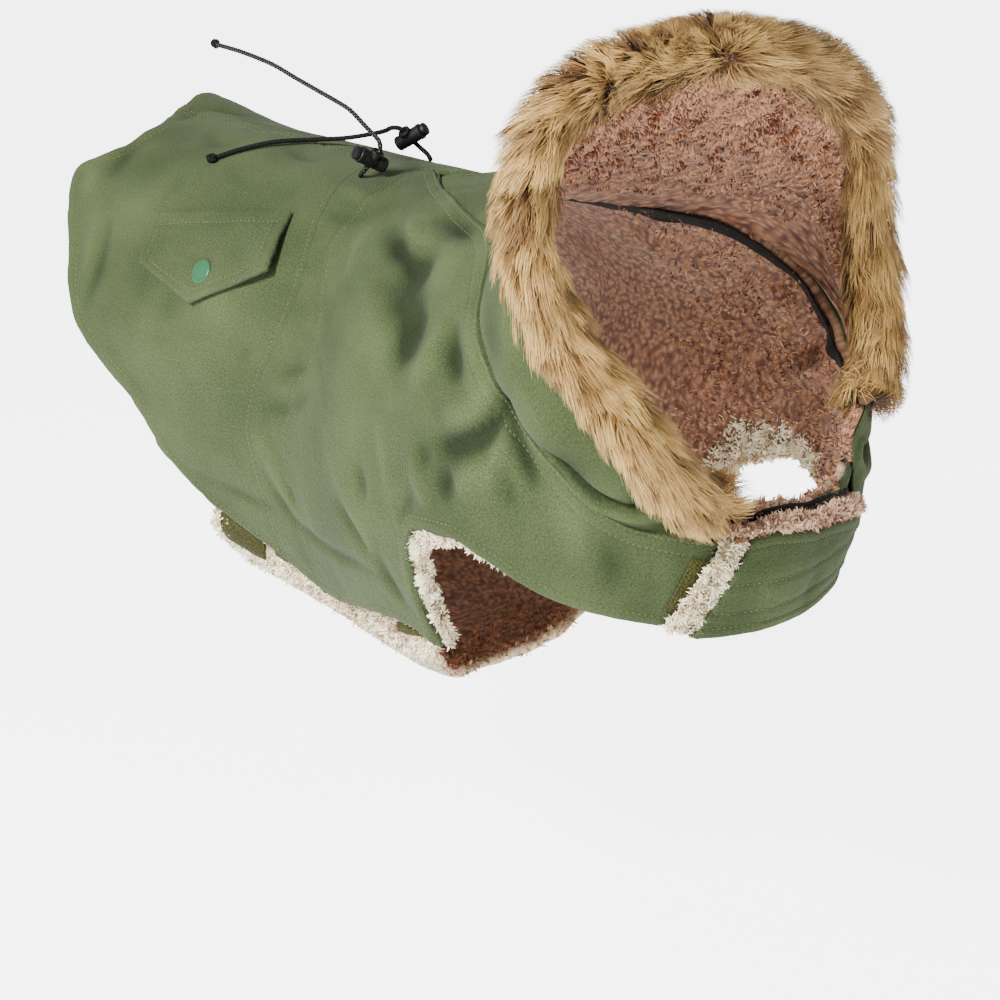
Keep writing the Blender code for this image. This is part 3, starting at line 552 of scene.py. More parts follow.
@dataclass
class Body:
    """The wrapped surface that every layer of the coat lies on, with its folds and seams."""

    keel_fullness: float = 0.8
    waist_spread: float = 55.0
    puff: float = 12.0
    puff_at: tuple[float, float] = (-219.0, 35.0)
    puff_spread: tuple[float, float] = (45.0, 28.0)
    lap_rise: float = 8.5
    lap_full: float = 305.0
    lap_none: float = 395.0
    squeeze: float = 0.05
    squeeze_run: float = 250.0
    squeeze_spread: float = 50.0

    def __post_init__(self) -> None:
        """Reads the tables and lays out the seams."""
        self.half_width, self.widest_z, self.crown_z, self.keel_z = (
            SmoothTable([(section.run, section[column]) for section in SECTIONS]) for column in range(1, 5)
        )
        self.pull = SmoothTable(WAIST_PULL)
        self.hem = {
            side: SmoothTable([(edge.angle, edge.run) for edge in table])
            for side, table in ((Side.RIGHT, REAR_HEM_RIGHT), (Side.LEFT, REAR_HEM_LEFT))
        }
        self.neck = {Side.RIGHT: SmoothTable(NECK_RIGHT), Side.LEFT: SmoothTable(NECK_LEFT)}
        self.lower = {Side.RIGHT: SmoothTable(LOWER_RIGHT), Side.LEFT: SmoothTable(LOWER_LEFT)}
        self.waist_back = SmoothTable(
            ((0, -31), (18, -33), (36, -31), (50, -28.5), (72, -28), (88, -30.5), (97, -31), (108, -29), (139, -28))
        )
        self.waist_front = SmoothTable(
            ((0, -4), (14, 0), (24, -7), (37, -14), (48, -17), (60, -14), (71, 1), (78, 5), (86, -3), (96, -6),
             (110, -8), (139, -8))
        )
        self.seams = self.lay_seams()

    def skin(self, run: Array, angle: Array) -> Array:
        """The shell's plain outer surface.

        Args:
            run: How far forward, in millimetres.
            angle: How far round, in degrees.

        Returns:
            The points.
        """
        run, angle = np.broadcast_arrays(np.asarray(run, float), np.asarray(angle, float))
        mirrored = np.minimum(run, 2 * FRONT_RUN - run)
        theta = np.radians(np.abs(angle))
        side = np.where(angle < 0, -1.0, 1.0)
        under = theta > math.pi / 2
        widest = self.widest_z(mirrored)
        height = np.where(under, widest - self.keel_z(mirrored), self.crown_z(mirrored) - widest)
        reach = np.maximum(np.sin(theta), 0.0)
        radius = self.half_width(mirrored) * np.where(under, reach**self.keel_fullness, reach)
        left_run = np.where(side < 0, run, 2 * FRONT_RUN - run)
        radius = radius * (1 - self.squeeze * bell(left_run - self.squeeze_run, self.squeeze_spread))
        turn = np.maximum(run - TURN_X, 0.0) / TURN_RADIUS
        x = np.minimum(run, TURN_X) + np.sin(turn) * radius
        y = -side * np.cos(turn) * radius
        z = widest + height * np.cos(theta)
        x = x + np.where(run < TURN_X, self.pull(np.abs(angle)) * bell(run + 20, self.waist_spread), 0)
        puffed = bell(x - self.puff_at[0], self.puff_spread[0]) * bell(y - self.puff_at[1], self.puff_spread[1])
        z = z + np.where(under, 0, self.puff * puffed)
        return np.stack([x, y, z], axis=-1)

    def raised(self, run: Array, angle: Array, out: Array | float) -> Array:
        """Points of the surface moved out along its normal.

        Args:
            run: How far forward.
            angle: How far round.
            out: How far to move each point outwards.

        Returns:
            The moved points.
        """
        return offset(self.skin, run, angle, 0.2, 0.2, out)

    def lap(self, side: Side, run: Array) -> Array:
        """How far out a front lies, so that the left one laps over the right one."""
        right_run = run if side is Side.RIGHT else 2 * FRONT_RUN - run
        rise = self.lap_rise * ease(-right_run, -self.lap_none, -self.lap_full)
        return rise if side is Side.LEFT else np.minimum(rise - self.lap_rise, 0.0)

    def edge_line(self, side: Side, table: SmoothTable, start: float, end: float, step: float = 3.0) -> Array:
        """A neck or lower edge as a path on the flattened cloth."""
        runs = np.arange(start, end + step, step)
        return chart(np.minimum(runs, end), side.value * table(np.minimum(runs, end)))

    def lay_seams(self) -> list[Seam]:
        """Every sewn line of the shell."""
        seams = []
        for side in Side:
            word, way, seed = side.word, side.value, 3.0 - side.value
            around = np.linspace(0.1, 139, 70)
            low_back = self.edge_line(side, self.lower[side], -101, FRONT_ENDS[side], 2.0)
            hem_angles = np.linspace(0, 115, 60)
            hem = chart(self.hem[side](hem_angles), way * hem_angles)
            seams += [
                Seam(f"waist_back_{word}", chart(self.waist_back(around), way * around), rows=(3.2 * way,),
                     pucker=0.3, band=0.08, depth=0.12, seed=seed),
                Seam(f"waist_front_{word}", chart(self.waist_front(around), way * around), rows=(-3.2 * way,),
                     pucker=0.3, band=0.08, depth=0.12, seed=seed + 2),
                Seam(f"neck_{word}", self.edge_line(side, self.neck[side], NECK_START, HOOD_ENDS[side]),
                     rows=(2.6 * way, 8.4 * way), band=0.55, pucker=0.5, seed=seed + 4),
                Seam(f"neck_end_{word}", self.edge_line(side, self.neck[side], HOOD_ENDS[side], FRONT_ENDS[side]),
                     SeamKind.HEM, (5.0 * way,), seed=seed + 5),
                Seam(f"lower_{word}", low_back, SeamKind.HEM, (-6.0 * way,), seed=seed + 6),
                Seam(f"hem_{word}", hem, SeamKind.HEM, (-9.0 * way,), band=0.2, seed=seed + 8),
            ]
        crown = np.linspace(-203, -31, 40)
        seams.append(Seam("centre_back", chart(crown, 0 * crown), rows=(3.0, -3.0), pucker=0.7, seed=17))
        right_end = np.linspace(97.2, 117.0, 12)
        right_line = chart(FRONT_ENDS[Side.RIGHT] + 0 * right_end, right_end)
        seams.append(Seam("chest_end_right", right_line, SeamKind.HEM, (5.0,), seed=19))
        left_end = np.linspace(-98.2, -119.5, 12)
        left_line = chart(FRONT_ENDS[Side.LEFT] + 0 * left_end, left_end)
        seams.append(Seam("chest_end_left", left_line, SeamKind.HEM, (-5.0,), seed=21))
        quilted = (
            ((403, -112.6), (380, -111.6), (350, -109.8), (310, -109.2), (270, -111.5), (240, -113.5)),
            ((403, -105.6), (380, -105.0), (350, -103.4), (310, -103.6), (270, -107.6)),
        )
        for number, row in enumerate(quilted):
            path = along_path(chart(*np.array(row, float).T), 40)
            seams.append(Seam(f"chest_row_{number}", path, SeamKind.ROW, (0.0,), pucker=0.35, seed=23 + number))
        return seams

    def relief(self, run: Array, angle: Array, seams: bool = True) -> Array:
        """How far the cloth stands out or in from its plain surface: its folds, and its seams if asked."""
        places = chart(run, angle).reshape(-1, 2)
        height = np.zeros(len(places))
        for fold in (*RIGHT_FOLDS, *LEFT_FOLDS):
            path = along_path(chart(*np.array(fold.path, float).T), 14)
            wide = 3 * fold.width
            close = ((places > path.min(axis=0) - wide) & (places < path.max(axis=0) + wide)).all(axis=1)
            if not close.any():
                continue
            gap, along, side = nearest_on(places[close], path)
            length = float(np.linalg.norm(np.diff(path, axis=0), axis=1).sum())
            fade = np.clip(np.sin(np.clip(along / length, 0.03, 0.97) * math.pi), 0, 1) ** 0.75
            uneven = 1 + 0.25 * ripple(along, gap, 17, fold.width)
            steep = np.where(side > 0, 0.8, 1.2)
            depth = np.interp(fold.width, (3, 8), (1.1, 1.6)) * min(1.0, length / (3.2 * fold.width)) * fold.height
            height[close] += 0.93 * depth * fade * uneven * bell(gap, 1.15 * fold.width * steep)
        x, y = places.T
        height += 0.9 * ripple(x + 0.4 * y, y, 46, 2) + 0.5 * ripple(x, y + 0.3 * x, 21, 5) + 0.14 * ripple(x, y, 8, 8)
        if seams:
            for seam in self.seams:
                height += seam.relief(places)
        return height.reshape(np.shape(run))

    def cloth_point(self, side: Side, run: Array, angle: Array, out: Array | float, seams: bool = True) -> Array:
        """Points of a layer that follows the folds; `angle` is signed and `out` is measured from the shell's face."""
        return self.raised(run, angle, out + self.lapped(side, run) + self.relief(run, angle, seams))

    def past_end(self, side: Side, flat: Array) -> Array:
        """How far places on the flattened cloth lie past a front's end at the chest."""
        ends = RIGHT_END_RUNS if side is Side.RIGHT else LEFT_END_RUNS
        high, low = self.neck[side](ends[-1][0]), self.lower[side](ends[-1][1])
        return flat[:, 0] - np.interp(flat[:, 1] / DEGREE_MM * side.value, (high, low), ends[-1])

    def past_edge(self, side: Side, flat: Array) -> Array:
        """Whether places on the flattened cloth lie below a front's lower edge or past its end."""
        below = flat[:, 1] / DEGREE_MM * side.value > self.lower[side](flat[:, 0]) + 0.4
        return below | (self.past_end(side, flat) > 0.6)

    def lapped(self, side: Side, run: Array) -> Array:
        """How far the left chest flap stands out to lie over the right one."""
        return np.where(run > 150, self.lap(side, run), 0)


def offset(surface: Callable[[Array, Array], Array], a: Array, b: Array, step_a: float, step_b: float,
           out: Array | float) -> Array:
    """Moves points of a two-way surface out along its normal.

    Args:
        surface: Gives a point for each (a, b).
        a: First place.
        b: Second place.
        step_a: A small step of a.
        step_b: A small step of b.
        out: How far to move.

    Returns:
        The moved points.
    """
    along = surface(a + step_a, b) - surface(a - step_a, b)
    around = surface(a, b + step_b) - surface(a, b - step_b)
    normal = np.cross(around, along)
    normal /= np.linalg.norm(normal, axis=-1, keepdims=True) + 1e-12
    return surface(a, b) + normal * np.asarray(out)[..., None]


def crowded(t: Array, crowd: float) -> Array:
    """Draws evenly spread numbers from 0 to 1 together at both ends."""
    return t - crowd * np.sin(2 * math.pi * t) / (2 * math.pi)


def read_all(items: bpy.types.bpy_prop_collection, what: str, width: int = 1, kind: type = np.float32) -> Array:
    """One property of all of a mesh's corners, faces or face corners."""
    values = np.empty(len(items) * width, kind)
    items.foreach_get(what, values)
    return values.reshape(-1, width) if width > 1 else values


def set_points(mesh: Mesh, points: Array) -> None:
    """Moves a mesh's corners to points given in millimetres."""
    mesh.vertices.foreach_set("co", (np.asarray(points) * MM).astype(np.float32).ravel())
    mesh.update()


def get_points(mesh: Mesh) -> Array:
    """A mesh's corners as an array."""
    return read_all(mesh.vertices, "co", 3).astype(float)


def lay_map(mesh: Mesh, name: str, uv: Array) -> None:
    """Gives a mesh a UV map from a place for each of its corners."""
    corners = read_all(mesh.loops, "vertex_index", kind=np.int32)
    mesh.uv_layers.new(name=name).data.foreach_set("uv", uv[corners].astype(np.float32).ravel())


def lay_uv(mesh: Mesh, uv: Array) -> None:
    """Gives a mesh a UV map in metres.

    Args:
        mesh: The mesh.
        uv: The place of each corner on the flattened cloth, in millimetres.
    """
    lay_map(mesh, "cloth", uv * MM)
    lay_painted_shading(mesh, np.full(len(mesh.vertices), 0.5))


def lay_painted_shading(mesh: Mesh, wear: Array) -> None:
    """Marks each corner of a mesh with its painted shading: on canvas from 0, painted shade down in a crease, to 1,
    painted highlight on a ridge; on sherpa from 0, cream, to 1, painted warm shade.
    """
    layer = mesh.attributes.get("wear") or mesh.attributes.new("wear", "FLOAT", "POINT")
    layer.data.foreach_set("value", np.asarray(wear, np.float32).ravel())


def blurred(grid: Array, reach: int) -> Array:
    """A grid of numbers smoothed over a few places each way."""
    for axis in (0, 1):
        for _ in range(2):
            ends = [(0, 0), (0, 0)]
            ends[axis] = (reach + 1, reach)
            total = np.cumsum(np.pad(grid, ends, mode="edge"), axis=axis)
            wide = 2 * reach + 1
            high, low = [slice(None)] * 2, [slice(None)] * 2
            high[axis], low[axis] = slice(wide, None), slice(None, -wide)
            grid = (total[tuple(high)] - total[tuple(low)]) / wide
    return grid


def grid_mesh(name: str, columns: int, rows: int, span: int = 0) -> tuple[Mesh, Array, Array]:
    """A flat grid of quads, or strips of it side by side.

    Args:
        name: The mesh's name.
        columns: How many quads go across.
        rows: How many go along.
        span: The last of every so many columns is left out, which parts the strips.

    Returns:
        The mesh, and the column and the row of each of its corners.
    """
    bm = bmesh.new()
    bmesh.ops.create_grid(bm, x_segments=columns, y_segments=rows, size=0.5)
    if span:
        spare = [face for face in bm.faces
                 if round((face.calc_center_median().x + 0.5) * columns - 0.5) % span == span - 1]
        bmesh.ops.delete(bm, geom=spare, context="FACES_ONLY")
    mesh = bpy.data.meshes.new(name)
    bm.to_mesh(mesh)
    bm.free()
    column, row = (np.rint((place + 0.5) * count).astype(int)
                   for place, count in zip(get_points(mesh).T, (columns, rows)))
    return mesh, column, row


def put_in(name: str, data: bpy.types.ID) -> Object:
    """Makes an object of some data and puts it in the scene."""
    thing = bpy.data.objects.new(name, data)
    bpy.context.collection.objects.link(thing)
    return thing


def finished(mesh: Mesh, name: str, material: Material, closed: bool = True,
             merge: float = 0.0) -> Object:
    """Makes a piece of a mesh: turns its faces outwards, smooths it and dresses it.

    Args:
        mesh: The mesh, in place.
        name: The piece's name.
        material: Its finish.
        closed: Whether the mesh is closed, so that its faces can be turned outwards.
        merge: Corners nearer than this, in millimetres, become one.

    Returns:
        The piece.
    """
    if closed or merge:
        bm = bmesh.new()
        bm.from_mesh(mesh)
        if merge:
            bmesh.ops.remove_doubles(bm, verts=bm.verts[:], dist=merge * MM)
        if closed:
            bmesh.ops.recalc_face_normals(bm, faces=bm.faces[:])
            if bm.calc_volume(signed=True) < 0:
                bmesh.ops.reverse_faces(bm, faces=bm.faces[:])
        bm.to_mesh(mesh)
        bm.free()
    mesh.name = name
    mesh.shade_smooth()
    mesh.materials.append(material)
    return put_in(name, mesh)


def slab(across: int, along: int) -> Mesh:
    """A flat two-layer wall of quads from 0 to 1, whose z is 0 on the face and 1 on the back."""
    bm = bmesh.new()
    bmesh.ops.create_grid(bm, x_segments=across, y_segments=along, size=0.5)
    bmesh.ops.translate(bm, verts=bm.verts[:], vec=(0.5, 0.5, 0.0))
    extruded = bmesh.ops.extrude_face_region(bm, geom=bm.faces[:], use_keep_orig=True)
    inner = [item for item in extruded["geom"] if isinstance(item, bmesh.types.BMVert)]
    bmesh.ops.translate(bm, verts=inner, vec=(0.0, 0.0, 1.0))
    bm.faces.index_update()

    def steady(face: bmesh.types.BMFace) -> float:
        """Each face's turn: the layers as made, then the rim by its place, so that every run numbers them alike."""
        middle = face.calc_center_median() - Vector((0.5, 0.5, 0.5))
        on_rim = abs(middle.z) < 0.25
        return len(bm.faces) + 4 + math.atan2(middle.y, middle.x) if on_rim else face.index

    bm.faces.sort(key=steady)
    mesh = bpy.data.meshes.new("wall")
    bm.to_mesh(mesh)
    bm.free()
    return mesh


class Laid(NamedTuple):
    """Where a layer's corners go, their place on the flattened cloth, and either their creases, from which painted
    shade and highlight are worked out, or their painted shading given as it is.
    """

    points: Array
    flat: Array
    creased: Array | None = None
    given_shading: Array | None = None


class Held(Enum):
    """What keeps a cloth piece where it is."""

    DRAPED = "draped"
    GATHERED = "gathered"
    HUNG = "hung"
    LAID = "laid"


def declare_cut(grid: Array) -> None:
    """Works out a cloth piece's cut, measured over the grid of its face's corners, and keeps none of it."""
    lengths = [np.percentile(np.linalg.norm(np.diff(grid, axis=k), axis=-1).sum(axis=k), 85) for k in (0, 1)]
    one, other = grid[1:, 1:] - grid[:-1, :-1], grid[:-1, 1:] - grid[1:, :-1]
    area = 0.5 * float(np.linalg.norm(np.cross(one, other), axis=-1).sum()) * MM * MM
    width, length = sorted(float(side) * MM for side in lengths)
    width = min(width, 3.2 * area / length)


def cloth(name: str, size: tuple[int, int], place: Callable[[Array, Array, Array], Laid],
          material: Material, crowd: tuple[float, float] = (0.7, 0.7)) -> Object:
    """A cloth piece: a wall of quads with each corner moved to its place.

    Args:
        name: The piece's name.
        size: How many quads it has each way.
        place: Gives the corners' places from their shares of the way across and along, and their layer.
        material: The cloth.
        crowd: How much the quads draw together at the edges, each way.

    Returns:
        The piece.
    """
    mesh = slab(*size)
    flat = get_points(mesh)
    laid = place(crowded(flat[:, 0], crowd[0]), crowded(flat[:, 1], crowd[1]), np.round(flat[:, 2]))
    set_points(mesh, laid.points)
    lay_uv(mesh, laid.flat)
    column, row, layer = (np.rint(flat[:, k] * count).astype(int) for k, count in enumerate((*size, 1)))
    cut = np.zeros((size[0] + 1, size[1] + 1, 3))
    cut[column[layer == 0], row[layer == 0]] = laid.points[layer == 0]
    if laid.creased is not None:
        height = np.zeros((size[0] + 1, size[1] + 1))
        height[column[layer == 0], row[layer == 0]] = laid.creased[layer == 0]
        # Painted shading from the creases: painted shade down in the troughs, painted highlight on the ridges.
        wear = 0.5 + 0.19 * (blurred(height, 1) - blurred(height, 8)) + 0.1 * (height - blurred(height, 1))
        lay_painted_shading(mesh, np.clip(wear, 0, 1)[column, row])
    if laid.given_shading is not None:
        lay_painted_shading(mesh, laid.given_shading)
    piece = finished(mesh, name, material)
    declare_cut(cut)
    return piece


@dataclass
class Shell:
    """The canvas shell: two rear halves, the drawcord's channel and two fronts."""

    body: Body
    canvas: Material
    thickness: float = 1.2
    turned: float = 1.5
    overlap: float = 0.15
    rear_quads: tuple[int, int] = (58, 94)

    def stations(self, side: Side, reach: float = 0.0) -> tuple[Array, Array]:
        """The runs that lines across a front start from at the neck and end at below.

        Args:
            side: Which front.
            reach: How far another line lies beyond the front's own end.

        Returns:
            The runs at the top and at the bottom.
        """
        ends = RIGHT_END_RUNS if side is Side.RIGHT else LEFT_END_RUNS
        top = [*NECK_RUNS, *(run for run, _ in ends)]
        bottom = [*LOWER_RUNS, *(run for _, run in ends)]
        if reach:
            top.append(top[-1] + reach)
            bottom.append(bottom[-1] + reach)
        return np.array(top, float), np.array(bottom, float)

    def front_place(self, side: Side, line: Array, v: Array, top_inset: float = 0.0,
                    low_reach: SmoothTable | None = None, beyond: float = 0.0) -> tuple[Array, Array]:
        """Run and unsigned angle on a front.

        Args:
            side: Which front.
            line: The number of the line across it, with fractions.
            v: The share of the way from neck to lower edge.
            top_inset: Degrees below the neck edge at v 0.
            low_reach: Degrees below the lower edge at v 1, by run.
            beyond: How far the last line lies past the front's end.

        Returns:
            The runs and the angles.
        """
        tops, bottoms = self.stations(side, beyond)
        numbers = np.arange(len(tops))
        top, bottom = np.interp(line, numbers, tops), np.interp(line, numbers, bottoms)
        top_angle = np.where(top >= NECK_START, self.body.neck[side](top), 0.05) + top_inset
        bottom_angle = self.body.lower[side](bottom) + (low_reach(bottom) if low_reach else 0.0)
        return top + (bottom - top) * v, top_angle + (bottom_angle - top_angle) * v

    def laid(self, side: Side, run: Array, angle: Array, depth: Array | float) -> Laid:
        """A layer's corners, where `angle` is unsigned."""
        signed = side.value * angle
        creased = self.body.relief(run, signed)
        out = depth + creased + self.body.lapped(side, run)
        return Laid(self.body.raised(run, signed, out), chart(run, signed), creased)

    def rear(self, side: Side) -> Object:
        """A rear half, from the centre-back seam round to the belly's edge."""

        def place(u: Array, v: Array, layer: Array) -> Laid:
            """Each corner's place."""
            angle = np.maximum(self.body.lower[side](WAIST_BACK_SEAM) * v, 0.04)
            hem = self.body.hem[side](angle)
            waist = self.body.waist_back(angle) + self.overlap
            hemmed = self.turned * (1 - ease((waist - hem) * u, 4.0, 5.5))
            run = hem + (waist - hem) * u
            return self.laid(side, run, angle, -(self.thickness + hemmed) * layer)

        return cloth(f"shell_rear_{side.word}", self.rear_quads, place, self.canvas, (0.5, 0.45))

    def channel(self) -> Object:
        """The drawcord's channel over the back, gathered a little by the cord."""

        def place(u: Array, v: Array, layer: Array) -> Laid:
            """Each corner's place."""
            angle = (134 + 5 * u) * (1 - 2 * v)
            back = self.body.waist_back(np.abs(angle)) - self.overlap
            front = self.body.waist_front(np.abs(angle)) + self.overlap
            run = back + (front - back) * u
            swell = 0.3 * np.sin(math.pi * u) ** 0.8 * (1 + 0.5 * ripple(angle * DEGREE_MM, run * 0.4, 11, 31))
            gathers = 0.45 * ripple(angle * DEGREE_MM, run * 0.12, 5.2, 33) * np.sin(math.pi * u)
            creased = self.body.relief(run, angle) + gathers
            height = creased + swell - (swell + gathers + self.thickness) * layer
            return Laid(self.body.raised(run, angle, height), chart(run, angle), creased)

        return cloth("shell_waist_channel", (18, 220), place, self.canvas, (0.5, 0.0))

    def front(self, side: Side) -> Object:
        """A front: shoulder, belly flap, leg notch and chest flap in one."""
        lines = len(self.stations(side)[0]) - 1

        def place(u: Array, v: Array, layer: Array) -> Laid:
            """Each corner's place."""
            run, angle = self.front_place(side, u * lines, v, 0.06)
            behind = -FRONT_START - self.overlap
            run = run + (self.body.waist_front(angle) + behind) * (1 - ease(run, FRONT_START, 34))
            hemmed = self.turned * (1 - ease(np.minimum((1 - v) * 250, (1 - u) * 430), 4.0, 5.5))
            return self.laid(side, run, angle, -(self.thickness + hemmed) * layer)

        quads = (186, 102) if side is Side.RIGHT else (130, 80)
        return cloth(f"shell_front_{side.word}", quads, place, self.canvas, (0.45, 0.45))

    def build(self) -> None:
        """Makes the shell's pieces."""
        for side in Side:
            word = side.word
            keep(self.rear(side), "olive_canvas", f"rear_{word}")
            keep(self.front(side), "olive_canvas", f"front_{word}")
        keep(self.channel(), "olive_canvas", "waist_channel")


def keep(piece: Object, slot: str, *nodes: str) -> Object:
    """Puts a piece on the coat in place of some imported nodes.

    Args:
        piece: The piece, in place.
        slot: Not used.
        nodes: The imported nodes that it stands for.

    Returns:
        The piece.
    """
    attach(piece, "root")
    if nodes:
        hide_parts(*nodes)
    count = len(piece.data.polygons) if piece.type == "MESH" else 0
    LOG.info("%s: %d faces, for %s", piece.name, count, ", ".join(nodes) or "nothing packed")
    return piece


LINING_REACH = (
    (-60, -1.5), (60, -1.0), (97, -0.5), (110, 0.3), (112.5, 1.2), (118, 3.2), (128, 3.6), (140, 2.4),
    (158, 0.9), (174, 0.1), (200, -0.6), (230, -1.2), (428, -1.2),
)
NOTCH_REACH = ((90, 0), (97, 0.5), (110, 3.5), (118, 3.5), (128, 1.0), (144, 0))
NOTCH_DEPTH = ((90, 0), (97, 0.6), (110, 1.6), (118, 1.4), (128, 0.5), (144, 0))


def pile(points: Array, coarse: float, fine: float, seed: float) -> Array:
    """The lumps of curled pile.

    Args:
        points: Places on the flattened cloth.
        coarse: Height of the larger lumps.
        fine: Height of the smaller ones.
        seed: Which pattern.

    Returns:
        How far the pile stands out.
    """
    x, y = points[..., 0], points[..., 1]
    x, y = x + 1.6 * ripple(x, y, 9, seed), y + 1.6 * ripple(x, y, 9, seed + 9)
    height = coarse * tufts(x, y, 7.0, seed) + 0.6 * coarse * tufts(x, y, 4.6, seed + 1)
    return height + fine * tufts(x, y, 2.7, seed + 2) + 0.5 * coarse * ripple(x, y, 17, seed + 3)


@dataclass
class Lining:
    """The sherpa behind the shell and the belly panel under the flaps."""

    body: Body
    shell: Shell
    sherpa: Material
    face: float = -2.0
    thickness: float = 4.0
    belly_face: float = -9.6
    belly_out: float = 8.2
    belly_angle: float = 127.0
    quads: tuple[int, int] = (152, 70)
    rear_columns: int = 9

    def side(self, side: Side) -> Object:
        """The lining of one side, from the rear hem to the chest."""
        reach, notch, deep = (SmoothTable(rows) for rows in (LINING_REACH, NOTCH_REACH, NOTCH_DEPTH))
        beyond = 11.0 if side is Side.LEFT else 0.0
        tops = self.shell.stations(side, beyond)[0]
        across = self.rear_columns + len(tops)

        def place(u: Array, v: Array, layer: Array) -> Laid:
            """Each corner's place."""
            line = u * across
            behind = np.clip(line / self.rear_columns, 0, 1)
            rear_angle = np.maximum(self.body.lower[side](WAIST_BACK_SEAM) * (0.004 + 0.984 * v), 0.2)
            hem = self.body.hem[side](rear_angle) + 6.0
            rear_run = hem + (WAIST_BACK_SEAM - hem) * behind
            front_line = np.maximum(line - self.rear_columns - 1, 0)
            run, angle = self.shell.front_place(side, front_line, v, 1.0, reach, beyond)
            ahead = np.clip(line - self.rear_columns, 0, 1)
            run, angle = rear_run + (run - rear_run) * ahead, rear_angle + (angle - rear_angle) * ahead
            at = chart(run, side.value * angle)
            depth = self.face - (self.thickness - 1.2 + pile(at, 1.3, 0.5, 3)) * layer
            depth = depth - deep(run) * ease(v, 0.5, 0.8)
            points = self.body.cloth_point(side, run, side.value * angle, depth, seams=False)
            points[:, 0] += notch(run) * ease(v, 0.93, 1.0)
            # Painted warm shade on the lining away from its rims, most on its back face.
            inside = ease(1 - v, 0.035, 0.12) * ease(u, 0.02, 0.07) * ease(1 - u, 0.02, 0.05)
            return Laid(points, at, given_shading=inside * (0.35 + 0.65 * layer))

        return cloth(f"sherpa_{side.word}", self.quads, place, self.sherpa, (0.3, 0.6))

    def belly_point(self, run: Array, angle: Array, out: Array | float) -> Array:
        """Points of the belly panel's outer face, moved out; the angle goes on past 180 to the left."""
        run, angle = np.broadcast_arrays(run, angle)
        around = np.where(angle <= 180, angle, 360 - angle)
        below = np.where(angle <= 180, ease(around - self.body.lower[Side.RIGHT](run) - 1.0, 0, 9), 0)
        fade = 1 - np.clip((around - 155) / 25, 0, 1)
        signed = np.where(angle < 179.9, angle, np.where(angle <= 180, 179.9, angle - 360))
        sag = 0.9 * ripple(run, angle * DEGREE_MM, 24, 41)
        return self.body.raised(run, signed, self.belly_face + self.belly_out * below * fade + sag + out)

    def belly(self) -> Object:
        """The belly panel, from under the right flap round the keel to under the left one."""
        rear_end = SmoothTable([(angle, rear) for angle, rear, _ in BELLY_ENDS])
        front_end = SmoothTable([(angle, front) for angle, _, front in BELLY_ENDS])

        def place(u: Array, v: Array, layer: Array) -> Laid:
            """Each corner's place."""
            angle = self.belly_angle + (360 - 2 * self.belly_angle) * v
            edge = np.minimum(u, 1 - u) * 180
            wavy = 1.6 * ripple(angle * DEGREE_MM, 0 * angle + 9 * (u > 0.5), 12, 5)
            run = rear_end(angle) + wavy + (front_end(angle) - rear_end(angle)) * u
            at = chart(run, angle)
            round_edge = (1 - np.clip(edge / 3.0, 0, 1)) ** 2 * 1.6
            lumps = pile(at, 1.1, 0.45, 7) - 1.1
            out = (lumps - round_edge) * (1 - layer) - (self.thickness - round_edge + lumps) * layer
            # Painted warm shade on the panel's back face, away from its edges.
            return Laid(self.belly_point(run, angle, out), at, given_shading=0.85 * layer * ease(edge, 2, 16))

        return cloth("sherpa_belly", (82, 78), place, self.sherpa, (0.5, 0.5))

    def build(self) -> dict[Side | None, Object]:
        """Makes the lining's pieces, and returns them by side, the belly panel under None."""
        pieces: dict[Side | None, Object] = {
            side: keep(self.side(side), "cream_sherpa", f"lining_{side.word}") for side in Side
        }
        pieces[None] = keep(self.belly(), "cream_sherpa", "belly_panel")
        return pieces


def parted(side: Side, points: Array) -> Array:
    """A hood half's points, kept on its own side of the centre seam."""
    points[:, 1] = -side.value * np.maximum(-side.value * points[:, 1], 0.05)
    return points


